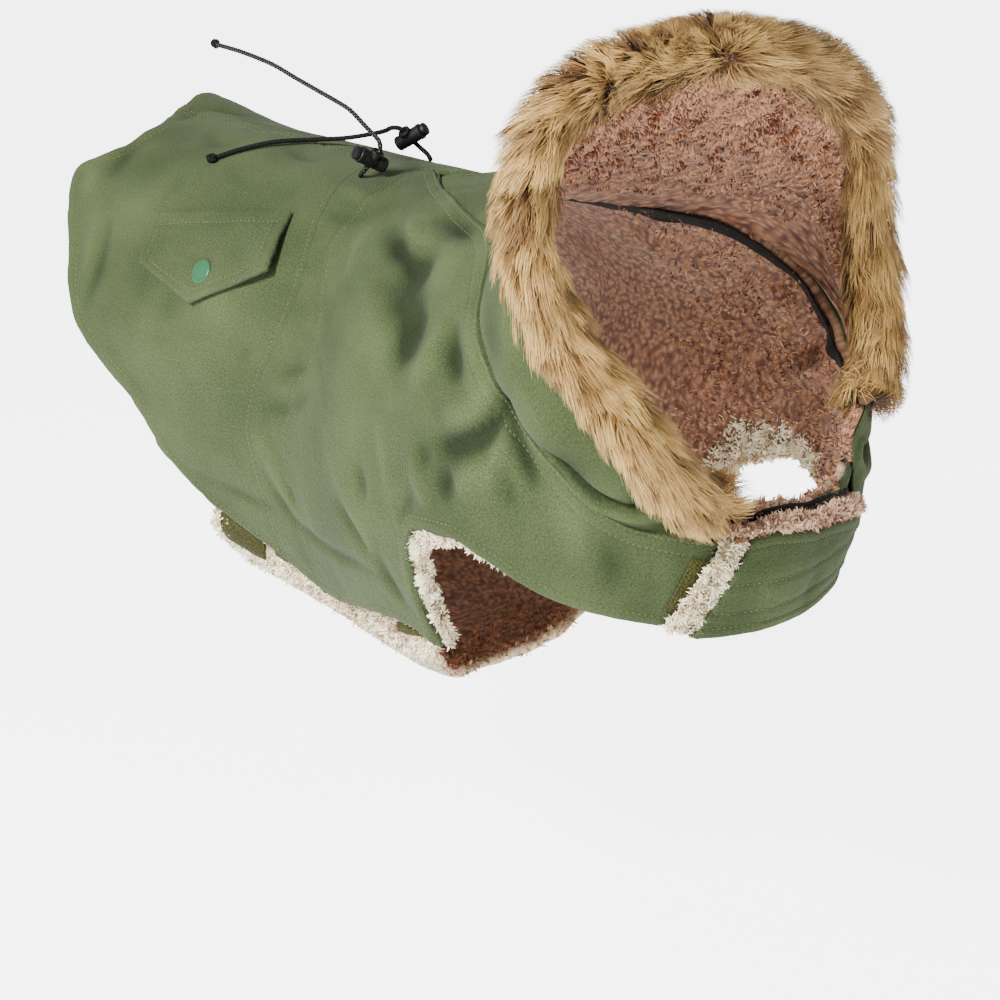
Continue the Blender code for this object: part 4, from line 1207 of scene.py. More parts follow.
@dataclass
class Hood:
    """The hood's two halves, their sherpa, and the tape over the neck seam inside."""

    body: Body
    canvas: Material
    sherpa: Material
    tape: Material
    trim_radius: float = 17.5
    quads: tuple[int, int] = (112, 36)
    tape_face: float = -7.2
    tape_width: float = 6.8
    swell: SmoothTable = field(init=False)
    ring: dict[Side, list[SmoothTable]] = field(init=False)
    trim_line: dict[Side, Array] = field(init=False)
    base: dict[Side, tuple[Array, Array]] = field(init=False)

    def __post_init__(self) -> None:
        """Reads the opening's tables and the neck seam's height."""
        self.swell = SmoothTable(HOOD_SWELL)
        self.ring = {
            side: [SmoothTable([(point.seam_run, point[column]) for point in table]) for column in (1, 2, 3)]
            for side, table in ((Side.RIGHT, HOOD_OPENING_RIGHT), (Side.LEFT, HOOD_OPENING_LEFT))
        }
        self.trim_line = {side: self.opening(side, np.linspace(NECK_START, TRIM_ENDS[side], 80)) for side in Side}
        self.base = {}
        for side in Side:
            runs = np.linspace(NECK_START - 1, HOOD_ENDS[side] + 1, 240)
            angles = side.value * self.body.neck[side](runs)
            self.base[side] = (runs, self.body.relief(runs, angles, seams=False))

    def opening(self, side: Side, seam_run: Array) -> Array:
        """Points on the middle line of the hood's trim."""
        return np.stack([table(seam_run) for table in self.ring[side]], axis=-1)

    def plain(self, side: Side) -> Callable[[Array, Array], Array]:
        """The hood's plain outer surface on one side, by the neck seam's run and the way up to the trim."""

        def read(run: Array, way: Array) -> Array:
            """Points of that surface."""
            run = np.maximum(run, NECK_START)
            angle = np.maximum(self.body.neck[side](run) - 0.2 + 0.95 * ease(run, NECK_START, NECK_START + 14), 0.03)
            low = np.interp(run, *self.base[side]) - 1.35 + self.body.lap(side, run)
            start = self.body.raised(run, side.value * angle, low)
            ring = self.opening(side, run)
            away = start - ring
            end = ring + away / np.linalg.norm(away, axis=-1, keepdims=True) * (self.trim_radius * 0.62)
            swell = (start + end) / 2 - np.array([110.0, 0.0, -20.0])
            swell[..., 0] = 0.0
            swell /= np.linalg.norm(swell, axis=-1, keepdims=True)
            way = way[..., None]
            return start + (end - start) * way + swell * self.swell(run)[..., None] * 4 * way * (1 - way)

        return read

    def relief(self, side: Side, run: Array, way: Array) -> Array:
        """The hood's gathers at the neck seam and the trim, its centre seam and its loose folds."""
        tall = 60 * way
        gathers = 1.0 * ripple(run, tall * 0.3, 8.5, 51) * np.exp(-tall / 10) * ease(tall, 0, 2.5)
        gathers += 0.8 * ripple(run, tall * 0.3, 10.5, 57) * np.exp(-(60 - tall) / 12)
        loose = 1.6 * ripple(run + 0.5 * tall, tall, 34, 53 + side.value) + 0.6 * ripple(run, tall, 15, 55)
        seam = 1.2 * bell(tall, 1.1)
        top = 0.9 * bell(run - NECK_START, 1.4) - 0.4 * bell(run - 16, 0.9)
        valleys = 2.4 * bell(run - 214 - 10 * way, 7) * bell(way - 0.35, 0.4)
        valleys += 1.8 * bell(run - 178 + 14 * way, 8) * bell(way - 0.3, 0.35)
        slit = chart(run, 0 * run + 60 * way / DEGREE_MM)
        fold = np.array([(246.0, 44.0), (240.0, 30.0), (226.0, 14.0), (214.0, 6.0)])
        gap, _, by = nearest_on(slit.reshape(-1, 2), fold)
        valleys += (5.0 * bell(gap, np.where(by > 0, 2.0, 5.0)) - 2.2 * bell(gap - 7, 4) * (by > 0)).reshape(run.shape)
        ridges = 1.6 * bell(run - 196 - 4 * way, 8) * bell(way - 0.4, 0.4)
        ridges += 1.2 * bell(run - 238, 8) * bell(way - 0.5, 0.4)
        return gathers + loose * np.sin(math.pi * np.clip(way, 0, 1)) ** 0.5 - seam - top - valleys + ridges

    def point(self, side: Side, run: Array, way: Array, out: Array | float) -> Array:
        """Points on the hood moved out along its normal; `way` is 0 at the neck and 1 at the trim."""
        run = np.maximum(run, NECK_START + 0.5)
        surface = self.plain(side)
        reach = np.clip(way, 0.01, 0.99)
        along = surface(run + 0.4, way) - surface(run - 0.4, way)
        upwards = surface(run, reach + 0.01) - surface(run, reach - 0.01)
        normal = np.cross(along, upwards) * side.value
        normal /= np.linalg.norm(normal, axis=-1, keepdims=True)
        height = np.asarray(out) + self.relief(side, run, way)
        return surface(run, way) + normal * height[..., None]

    def shell(self, side: Side) -> Object:
        """A hood half, from the neck seam up to the trim."""

        def place(u: Array, v: Array, layer: Array) -> Laid:
            """Each corner's place."""
            run = NECK_START + (HOOD_ENDS[side] - NECK_START) * u
            points = parted(side, self.point(side, run, v, -1.2 * layer))
            return Laid(points, np.stack([run, 400 + 70 * v], axis=-1), self.relief(side, run, v))

        return cloth(f"hood_shell_{side.word}", self.quads, place, self.canvas, (0.3, 0.6))

    def lining(self, side: Side) -> Object:
        """The sherpa inside a hood half."""

        def place(u: Array, v: Array, layer: Array) -> Laid:
            """Each corner's place."""
            run = NECK_START + (HOOD_ENDS[side] - 6 - NECK_START) * u
            at = np.stack([run, 400 + 70 * v], axis=-1)
            depth = -2.0 - (2.6 + pile(at, 2.3, 0.9, 11)) * layer
            points = parted(side, self.point(side, run, 0.005 + 1.015 * v, depth))
            # All of the hood's sherpa gets painted warm shade.
            return Laid(points, at, given_shading=np.ones(len(run)))

        return cloth(f"hood_sherpa_{side.word}", (108, 40), place, self.sherpa, (0.2, 0.3))

    def tape_strip(self, side: Side) -> Object:
        """The tape that covers the neck seam inside and shows over the chest's edge, with a stitch groove. Its black
        also stands in for the deep shade inside the neck, and over the chest's edge for the shaded gap between the
        chest flaps.
        """
        last = FRONT_ENDS[side] - 8 if side is Side.LEFT else HOOD_ENDS[side] + 34

        def place(u: Array, v: Array, layer: Array) -> Laid:
            """Each corner's place."""
            run = 34 + (last - 34) * u
            raised = np.interp(run, (350, 374), (5.9, 4.4)) * ease(run, HOOD_ENDS[side] - 6, HOOD_ENDS[side] + 12)
            angle = self.body.neck[side](run) + 0.6 - raised + (self.tape_width + 0.6) * v
            rib = 0.12 * np.sin(run * 2.6) - 0.35 * (bell(v - 0.14, 0.05) + bell(v - 0.86, 0.05))
            rolled = -0.7 * (1 - np.clip(np.minimum(v, 1 - v) / 0.1, 0, 1)) ** 2
            wave = 0.5 * ripple(run, angle, 13, 61)
            depth = self.tape_face - 0.9 - (1.0 + rib + rolled) * layer + wave
            points = self.body.cloth_point(side, run, side.value * angle, depth, seams=False)
            return Laid(points, chart(run, side.value * angle))

        return cloth(f"tape_{side.word}", (150, 8), place, self.tape, (0.0, 0.5))

    def build(self) -> dict[Side, Object]:
        """Makes the hood's pieces, and returns its sherpa by side."""
        sherpas = {}
        for side in Side:
            word = side.word
            keep(self.shell(side), "olive_canvas", f"hood_{word}")
            sherpas[side] = keep(self.lining(side), "cream_sherpa", f"hood_lining_{word}")
            keep(self.tape_strip(side), "black_tape", f"neck_tape_{word}")
        return sherpas


def unit(vectors: Array) -> Array:
    """Vectors scaled to length 1."""
    return vectors / (np.linalg.norm(vectors, axis=-1, keepdims=True) + 1e-9)


def hair_ribbons(name: str, middles: Array, wide: Array, facing: Array, shade: Array,
                 material: Material) -> Object:
    """Makes a narrow tapered ribbon of each hair.

    Args:
        name: The piece's name.
        middles: The hairs' middle lines, shaped (hairs, points, 3).
        wide: At each of those points, the vector across the ribbon.
        facing: The way that the pile under each hair faces, which its shading leans to.
        shade: A number from 0 to 1 for each hair, which its colour is read by.
        material: The hair's finish.

    Returns:
        The piece.
    """
    count, steps = middles.shape[0], middles.shape[1] - 1
    mesh, column, row = grid_mesh(name, 2 * count - 1, steps, 2)
    hair, edge = column // 2, column % 2
    set_points(mesh, middles[hair, row] + wide[hair, row] * (edge - 0.5)[:, None])
    lay_map(mesh, "hair", np.stack([shade[hair], row / steps], axis=-1))
    own = unit(np.cross(np.gradient(middles, axis=1), wide))
    if np.einsum("ij,ij->i", own[:, 0], facing).mean() < 0:
        own = -own
    starts = read_all(mesh.polygons, "loop_start", kind=np.int32)
    owner = read_all(mesh.loops, "vertex_index", kind=np.int32)[starts]
    if np.einsum("ij,ij->i", read_all(mesh.polygons, "normal", 3), own[hair[owner], row[owner]]).mean() < 0:
        mesh.flip_normals()
    piece = finished(mesh, name, material, closed=False)
    normals = unit(own * 0.45 + facing[:, None] * 0.75)
    mesh.normals_split_custom_set_from_vertices(normals[hair, row].tolist())
    return piece


@dataclass
class FurTrim:
    """The long fur round the hood's opening: a matted core, and clumped hairs swept out and down."""

    hood: Hood
    fur: Material
    pieces: int = 3
    strands: int = 18500
    core: float = 7.0
    limit: float = 23.5
    length: float = 21.0
    steps: int = 3
    clump: float = 4.4
    short: float = 9.0
    parting: float = 42.0

    def line(self) -> Array:
        """The trim's middle line, from near the right end over the top to near the left end."""
        right, left = self.hood.trim_line[Side.RIGHT], self.hood.trim_line[Side.LEFT]
        whole = along_path(np.vstack([right[::-6], left[6::6]]), 700)
        gone = gone_along(whole)
        return along_path(whole[(gone > self.short) & (gone < gone[-1] - self.short)][::6], 320)

    def directions(self, line: Array) -> tuple[Array, Array, Array, Array]:
        """The trim's own directions.

        Args:
            line: Its middle line.

        Returns:
            At each point the tangent, the way outwards from the opening, the way forwards, and the way the
            hair is combed down along it.
        """
        tangent = unit(np.gradient(line, axis=0))
        outward = line - line.mean(axis=0)
        outward = unit(outward - tangent * np.einsum("ij,ij->i", outward, tangent)[:, None])
        forward = np.cross(outward, tangent)
        forward *= np.where(forward[:, :1].mean() < 0, -1, 1)
        top = int(line[:, 2].argmax())
        gone = gone_along(line)
        from_top = gone - gone[top]
        ends = ease(np.minimum(gone, gone[-1] - gone), 0, 34)
        combed = tangent * (np.tanh(from_top / 9) * (0.6 + 0.55 * ease(np.abs(from_top), 60, 180)) * ends)[:, None]
        return tangent, outward, forward, combed

    def cells(self, at: Array, around: Array) -> tuple[Array, Array]:
        """Which uneven clump each hair belongs to, by its place along the trim and its angle round it."""
        shift = 0.9 * ripple(at, around / 5, 7, 31)
        turn = 0.9 * ripple(at, around / 5, 7, 32)
        return np.floor(at / self.clump + shift), np.floor(around / 26.0 + turn)

    def hairs(self, seed: int, line: Array, gone: Array, at: Array, around: Array, own: Array) -> Array:
        """The corners' middle line of hairs that grow at given places.

        Args:
            seed: Which pattern of clumps.
            line: The trim's middle line.
            gone: Its length up to each point.
            at: Each hair's place along it.
            around: Each hair's angle round the core, 0 outwards and 90 forwards.
            own: A random number for each hair, or 0.5 for a clump's middle hair.

        Returns:
            Points shaped (hairs, steps + 1, 3).
        """
        tangent, outward, forward, combed = self.directions(line)
        middle, way, out, ahead, comb = (
            read_at(at, gone, table) for table in (line, tangent, outward, forward, combed)
        )
        turn = np.radians(around)[:, None]
        radial = np.cos(turn) * out + np.sin(turn) * ahead
        cell_a, cell_b = self.cells(at, around)
        stray = np.stack([scattered(cell_a, cell_b, seed + k) - 0.5 for k in (1, 2, 3)], axis=-1)
        drift = np.stack([ripple(at, around / 4, 15, seed + k) for k in (4, 5, 6)], axis=-1)
        fine = np.stack([np.modf(own * (37.7 + 11 * k))[0] - 0.5 for k in (1, 2, 3)], axis=-1)
        away = np.clip((around - self.parting - 9 * ripple(at, 0 * at, 21, 47)) / 24, -1, 1)[:, None]
        swept = (np.cos(turn) * ahead - np.sin(turn) * out) * away
        top = gone[int(line[:, 2].argmax())]
        stray *= 0.64 - 0.3 * bell(at - top, 70)[:, None]
        swept *= 1 - 0.8 * bell(at - top, 85)[:, None]
        lay = unit(0.55 * radial + 0.36 * out + comb + 0.36 * swept + stray + 0.55 * drift + 0.5 * fine)
        size = self.length * (0.78 + 0.4 * scattered(cell_a, cell_b, seed + 7)) * (0.78 + 0.34 * np.modf(own * 91.3)[0])
        size = size * np.where(np.modf(own * 53.9)[0] > 0.965, 1.22, 1.0)
        size = size * (0.8 + 0.2 * ease(np.minimum(at, gone[-1] - at), 0, 26))
        t = np.linspace(0, 1, self.steps + 1)[None, :, None]
        sway = unit(np.cross(lay, radial + 0.4 * stray)) * (np.sin(2 * math.pi * (cell_a * 0.37 + own * 0.3)))[:, None]
        root = middle + radial * (self.core * 0.85)
        start = unit(radial + 0.5 * comb)
        grown = start[:, None] * (t - 0.62 * t * t) + lay[:, None] * (0.3 * t + 0.62 * t * t)
        grown = grown + sway[:, None] * 0.1 * np.sin(2 * math.pi * 0.85 * t)
        points = root[:, None] + grown * size[:, None, None]
        away = points - middle[:, None]
        beside = away - way[:, None] * np.einsum("ijk,ik->ij", away, way)[..., None]
        far = np.linalg.norm(beside, axis=-1, keepdims=True)
        reach = self.limit * (0.84 + 0.16 * np.modf(own * 71.7)[0])[:, None, None]
        return points - beside * (1 - reach / np.maximum(far, 1e-6) * np.tanh(far / reach))

    def tuft(self, number: int, line: Array, gone: Array) -> Object:
        """One share of the hair, spread over the whole trim."""
        rng = np.random.default_rng(100 + number)
        count = self.strands
        at = rng.uniform(1.0, gone[-1] - 1.0, count)
        around = rng.uniform(-180, 180, count)
        turned = rng.uniform(-110, 130, count)
        around = np.where((np.abs(around) > 115) & (rng.uniform(0, 1, count) < 0.55), turned, around)
        extra = rng.uniform(0, 1, count) < 0.09
        at = np.where(extra, gone[int(line[:, 2].argmax())] + rng.normal(0, 14, count), at)
        around = np.where(extra, rng.uniform(-80, 80, count), around)
        own = rng.uniform(0, 1, count)
        middles = self.hairs(1, line, gone, at, around, own)
        cell_a, cell_b = self.cells(at, around)
        order = np.unique(cell_a * 1000 + cell_b, return_inverse=True)[1].ravel()
        members = np.bincount(order)
        cell_at, cell_around = ((np.bincount(order, place) / members)[order] for place in (at, around))
        leaders = self.hairs(1, line, gone, cell_at, cell_around, np.full(count, 0.5))
        t = np.linspace(0, 1, self.steps + 1)[None, :, None]
        hold = rng.uniform(0.05, 0.6, count)[:, None, None]
        middles = middles + (leaders - middles) * hold * t**1.6
        centre = read_at(at, gone, line)
        run = unit(np.gradient(middles, axis=1))
        wide = unit(np.cross(run, middles - centre[:, None]))
        twist = rng.uniform(-0.6, 0.6, count)[:, None, None]
        wide = wide * np.cos(twist) + np.cross(run, wide) * np.sin(twist)
        width = rng.uniform(0.28, 0.56, count)[:, None, None] * (1 - 0.8 * t**1.8)
        streak = 0.5 + 0.55 * ripple(at / 1.5, around / 6, 9, 41) - 0.2 * bell(around - self.parting, 20)
        crown = bell(at - gone[int(line[:, 2].argmax())], 26)
        shade = 0.46 * scattered(cell_a, cell_b, 9) + 0.3 * own + 0.46 * streak - 0.06 - 0.14 * crown
        shade = np.clip(shade, 0, 1)
        facing = unit(middles[:, 1] - centre)
        return hair_ribbons(f"fur_hair_{number}", middles, wide * width, facing, shade, self.fur)

    def matted_core(self, line: Array, gone: Array) -> Object:
        """The strip's own body under the hair."""
        _, outward, forward, _ = self.directions(line)
        ring = 18
        turn = np.linspace(0, 2 * math.pi, ring, endpoint=False)
        wide = self.core * (1 + 0.2 * ripple(gone[:, None] + 0 * turn, 4 * np.cos(turn)[None, :], 5, 2))
        wide = wide * (0.15 + 0.85 * np.sqrt(ease(np.minimum(gone, gone[-1] - gone), -2, 14)))[:, None]
        flat = np.full((len(line), ring + 1, 2), 330.0)
        piece = rolled_tube(line, ringed(wide, turn, outward, forward), "fur_core", self.fur, flat)
        piece.data.uv_layers[0].name = "hair"
        return piece

    def build(self) -> None:
        """Makes the trim's pieces."""
        line = self.line()
        gone = gone_along(line)
        keep(self.matted_core(line, gone), "tan_fur", "hood_trim")
        for number in range(self.pieces):
            keep(self.tuft(number, line, gone), "tan_fur")


def turned_piece(name: str, profile: Sequence[tuple[float, float]], segments: int, axis: Vector, centre: Vector,
                 material: Material, sharp: float = 34.0) -> Object:
    """A hard piece turned on a lathe, with its sharp edges kept.

    Args:
        name: Its name.
        profile: Its outline as (radius, height), in millimetres: from foot to top with both ends on the axis, or
            all round a ring that is clear of the axis.
        segments: How many steps go round.
        axis: The way that its top points.
        centre: Where height 0 of its axis is, in millimetres.
        material: Its finish.
        sharp: The angle, in degrees, past which an edge is sharp.

    Returns:
        The piece.
    """
    bm = bmesh.new()
    verts = [bm.verts.new((radius * MM, 0.0, height * MM)) for radius, height in profile]
    is_ring = profile[0][0] > 0
    edges = [bm.edges.new(pair) for pair in zip(verts, verts[1:] + verts[:1] if is_ring else verts[1:])]
    bmesh.ops.spin(bm, geom=verts + edges, cent=(0, 0, 0), axis=(0, 0, 1), angle=2 * math.pi, steps=segments,
                   use_merge=True)
    bmesh.ops.remove_doubles(bm, verts=bm.verts[:], dist=0.004 * MM)
    bmesh.ops.recalc_face_normals(bm, faces=bm.faces[:])
    place = Matrix.Translation(centre * MM) @ axis.to_track_quat("Z", "Y").to_matrix().to_4x4()
    bmesh.ops.transform(bm, matrix=place, verts=bm.verts[:])
    mesh = bpy.data.meshes.new(name)
    bm.to_mesh(mesh)
    bm.free()
    piece = finished(mesh, name, material)
    mesh.set_sharp_from_angle(angle=math.radians(sharp))
    return piece


@dataclass
class Fuzz:
    """Short curled fibres that stand on the pile, thickest along its edges."""

    body: Body
    cream: Material
    # After the cream fibre come two copies of it with painted warm shade: the first darker, for pile seen inside, the
    # second lighter, for the chest's roll.
    warm: Material
    rosy: Material
    length: float = 4.0
    width: float = 1.05

    def grow(self, piece: Object, name: str, count: int, weigh: Callable[[Array], Array],
             outwards: Callable[[Array], Array], seed: int, fibre: Material | None = None,
             bare: Callable[[Array], Array] | None = None, steepest: float = 0.35) -> None:
        """Grows fibres on a sherpa piece.

        Args:
            piece: The piece, whose faces are quads with a cloth map.
            name: The fibres' own name.
            count: How many there are.
            weigh: Gives each face's share of them from its place on the flattened cloth.
            outwards: Gives the way the shell's face points at each centre, so the hidden face grows none.
            seed: Which pattern.
            fibre: Their finish, if not the cream one.
            bare: Where the pile has no shell over it, so that its outward side has fibres too.
            steepest: How far a face may turn to the shell and still grow fibres, as a cosine.
        """
        rng = np.random.default_rng(seed)
        mesh = piece.data
        centre, normal = (read_all(mesh.polygons, what, 3).astype(float) for what in ("center", "normal"))
        centre = centre / MM
        area = read_all(mesh.polygons, "area")
        uv = read_all(mesh.uv_layers["cloth"].data, "uv", 2).astype(float) / MM
        starts = read_all(mesh.polygons, "loop_start", kind=np.int32)
        flat = (uv[starts] + uv[starts + 1] + uv[starts + 2]) / 3
        weight = area.astype(float) * weigh(flat)
        hidden = np.einsum("ij,ij->i", normal, outwards(centre)) > steepest
        weight[hidden & ~bare(flat) if bare else hidden] = 0
        chosen = rng.choice(len(weight), count, p=weight / weight.sum())
        spread = np.sqrt(area[chosen].astype(float))[:, None] / MM
        jitter = rng.uniform(-0.6, 0.6, (count, 3)) * spread
        way = normal[chosen]
        jitter -= way * np.einsum("ij,ij->i", jitter, way)[:, None]
        root = centre[chosen] + jitter - way * 0.6
        spot = flat[chosen] + jitter[:, :2]
        cell = np.floor(spot / 4.2)
        lean = np.stack([scattered(cell[:, 0], cell[:, 1], seed + k) - 0.5 for k in (1, 2, 3)], axis=-1)
        curl = rng.uniform(-0.5, 0.5, (count, 3))
        first = unit(way + 0.9 * lean + 0.5 * curl)
        second = unit(0.35 * way + 2.0 * lean + 1.1 * curl + rng.uniform(-0.4, 0.4, (count, 3)))
        size = self.length * rng.uniform(0.55, 1.1, count)[:, None]
        middles = np.stack([root, root + first * size * 0.5, root + first * size * 0.62 + second * size * 0.42], axis=1)
        wide = unit(np.cross(np.gradient(middles, axis=1), way[:, None] + 0.6 * curl[:, None]))
        taper = np.array([0.9, 1.0, 0.2])[None, :, None] * rng.uniform(0.6, 1.2, count)[:, None, None] * self.width
        tone = np.clip(0.45 * scattered(cell[:, 0], cell[:, 1], seed + 7) + 0.6 * rng.uniform(0, 1, count), 0, 1)
        keep(hair_ribbons(name, middles, wide * taper, way, tone, fibre or self.cream), "cream_sherpa")

    def shell_way(self, centre: Array) -> Array:
        """Roughly which way the shell's face points over the body."""
        turn = np.clip((centre[:, 0] - TURN_X) / TURN_RADIUS, 0, 1) * 1.2
        middle = np.stack([np.minimum(centre[:, 0], TURN_X), 0 * turn, np.full(len(turn), -105.0)], axis=-1)
        return unit(centre - middle)

    def on_lining(self, piece: Object, side: Side) -> None:
        """Fibres along a lining's notch, chest and neck edges, with a few inside."""
        lower = self.body.edge_line(side, self.body.lower[side], 84, FRONT_ENDS[side] + 8, 2.0)
        neck = self.body.edge_line(side, self.body.neck[side], HOOD_ENDS[side] - 14, FRONT_ENDS[side] + 8)

        def rims(flat: Array) -> Array:
            """The notch, the chest edge and the left front's end."""
            rim = ease(-nearest_on(flat, lower)[0], -13, -5) * (1 - ease(flat[:, 0], 165, 190))
            if side is Side.LEFT:
                rim = np.maximum(rim, ease(self.body.past_end(side, flat), -5, -1))
            return rim * (flat[:, 0] > 84)

        def inside(flat: Array) -> Array:
            """The rest of the front, thickest by the neck edge."""
            gap = nearest_on(flat, neck)[0]
            edge = ease(-gap, -13, -5)
            return ease(flat[:, 0], 60, 110) * (0.35 + edge) * (1 - rims(flat)) * ease(gap, 5.5, 8)

        def bare(flat: Array) -> Array:
            """Whether the shell ends before there."""
            return self.body.past_edge(side, flat)

        word = side.word
        count = 6500 if side is Side.LEFT else 5500
        self.grow(piece, f"fuzz_{word}", count, rims, self.shell_way, 60 + side.value, bare=bare)
        # The fibres inside have painted warm shade.
        self.grow(piece, f"fuzz_inside_{word}", 4500, inside, self.shell_way, 64 + side.value, self.warm,
                  steepest=-0.3)

    def on_belly(self, piece: Object) -> None:
        """Fibres on the belly panel, where it shows past the right flap and along its ends."""

        def weigh(flat: Array) -> Array:
            """The stretch past the right flap, and the two ends."""
            angle = flat[:, 1] / DEGREE_MM
            shown = ease(-angle, -152, -140) * ease(angle, 127, 129)
            for middle in (-64.0, 82.0):
                patch = np.maximum(np.abs(flat[:, 0] - middle) - 13.0, np.abs(angle - 133.0) * DEGREE_MM - 12.5)
                shown = shown * ease(patch, -0.5, 1.5)
            across = np.minimum(flat[:, 0] + 88, 104 - flat[:, 0])
            ends = ease(-across, -22, -10)
            return np.maximum(shown, 0.35 * ends)

        def below(centre: Array) -> Array:
            """The way in to the wearer."""
            return -self.shell_way(centre)

        def lit(flat: Array) -> Array:
            """The part that light reaches through the leg notch."""
            return ease(flat[:, 0], 10, 60)

        self.grow(piece, "fuzz_belly", 5000, weigh, below, 71)
        # The fibres inside have painted warm shade.
        self.grow(piece, "fuzz_belly_inside", 2500, lit, self.shell_way, 73, self.warm)

    def in_hood(self, piece: Object, side: Side) -> None:
        """Fibres on the hood's sherpa, thickest by the fur."""

        def weigh(flat: Array) -> Array:
            """Clear of the neck seam, and more by the fur."""
            clear = np.maximum(ease(flat[:, 1], 430, 442), (flat[:, 0] < 150) * ease(flat[:, 1], 412, 420))
            return (0.5 + ease(flat[:, 1], 440, 466)) * clear

        def outside(centre: Array) -> Array:
            """The way out of the hood."""
            return unit(centre - np.array([170.0, 0.0, -30.0]))

        # The hood's fibres have painted warm shade.
        self.grow(piece, f"fuzz_hood_{side.word}", 6500, weigh, outside, 80 + side.value, self.warm,
                  steepest=-0.1)


@dataclass
class ChestEdge:
    """What stands over the left chest flap's neck edge: a tufted roll, and the facing behind the tape, both with
    painted warm shade.
    """

    body: Body
    sherpa: Material
    fuzz: Fuzz

    def line(self, runs: Array, rise: Array | float, out: float) -> Array:
        """A line of points a little above the flap's neck edge."""
        angles = self.body.neck[Side.LEFT](np.minimum(runs, FRONT_ENDS[Side.LEFT])) - rise / DEGREE_MM
        return self.body.cloth_point(Side.LEFT, runs, -angles, out, seams=False)

    def tufted(self, name: str, points: Array, tall: Array, deep: float, seed: int) -> Object:
        """A lumpy roll of pile.

        Args:
            name: Its name.
            points: Its middle line.
            tall: Its half height at each point.
            deep: Its half depth.
            seed: Which pattern.

        Returns:
            The piece.
        """
        _, upward, through = frames(points, np.array([0.0, 0.0, 1.0]))
        turn = np.linspace(0, 2 * math.pi, 22, endpoint=False)
        gone = gone_along(points)
        places = np.stack(np.broadcast_arrays(gone[:, None], 3.6 * turn[None, :]), axis=-1)
        lumps = 0.76 + 0.14 * pile(places, 1.3, 0.7, seed)
        lumps = lumps * np.sqrt(np.clip(np.minimum(gone, gone[-1] - gone) / 5, 0.0004, 1))[:, None]
        offsets = lumps[..., None] * (tall[:, None, None] * np.cos(turn)[None, :, None] * upward[:, None]
                                      + deep * np.sin(turn)[None, :, None] * through[:, None])
        wide = np.append(turn, 2 * math.pi) * 3.6
        flat = np.stack(np.broadcast_arrays(gone[:, None], wide[None, :]), axis=-1)
        piece = rolled_tube(points, offsets, name, self.sherpa, flat, capped=False)
        # The roll gets a little over half painted warm shade.
        lay_painted_shading(piece.data, np.full(len(piece.data.vertices), 0.55))
        return keep(piece, "cream_sherpa")

    def build(self) -> None:
        """Makes the roll and the facing, with their fibres."""

        def everywhere(flat: Array) -> Array:
            """An even share."""
            return 1.0 + 0 * flat[:, 0]

        def nowhere(centre: Array) -> Array:
            """No side of a roll is hidden."""
            return 0 * centre

        runs = np.linspace(HOOD_ENDS[Side.LEFT] + 4, 390.0, 84)
        rise, tall = (np.interp(runs, (350, 374), sizes) for sizes in ((3.6, 2.4), (3.4, 2.2)))
        roll = self.tufted("neck_roll", self.line(runs, rise, -3.2), tall, 3.2, 81)
        # The roll's fibres have a lighter painted warm shade.
        self.fuzz.grow(roll, "fuzz_roll", 3000, everywhere, nowhere, 83, self.fuzz.rosy)
        tall = 7.2 + 4.2 * bell(runs - 300, 12)
        facing = self.tufted("neck_facing", self.line(runs, 3.4 + 0.5 * (tall - 7.2), -12.4), tall, 2.8, 85)
        # The facing's fibres have painted warm shade.
        self.fuzz.grow(facing, "fuzz_facing", 2600, everywhere, nowhere, 87, self.fuzz.warm)


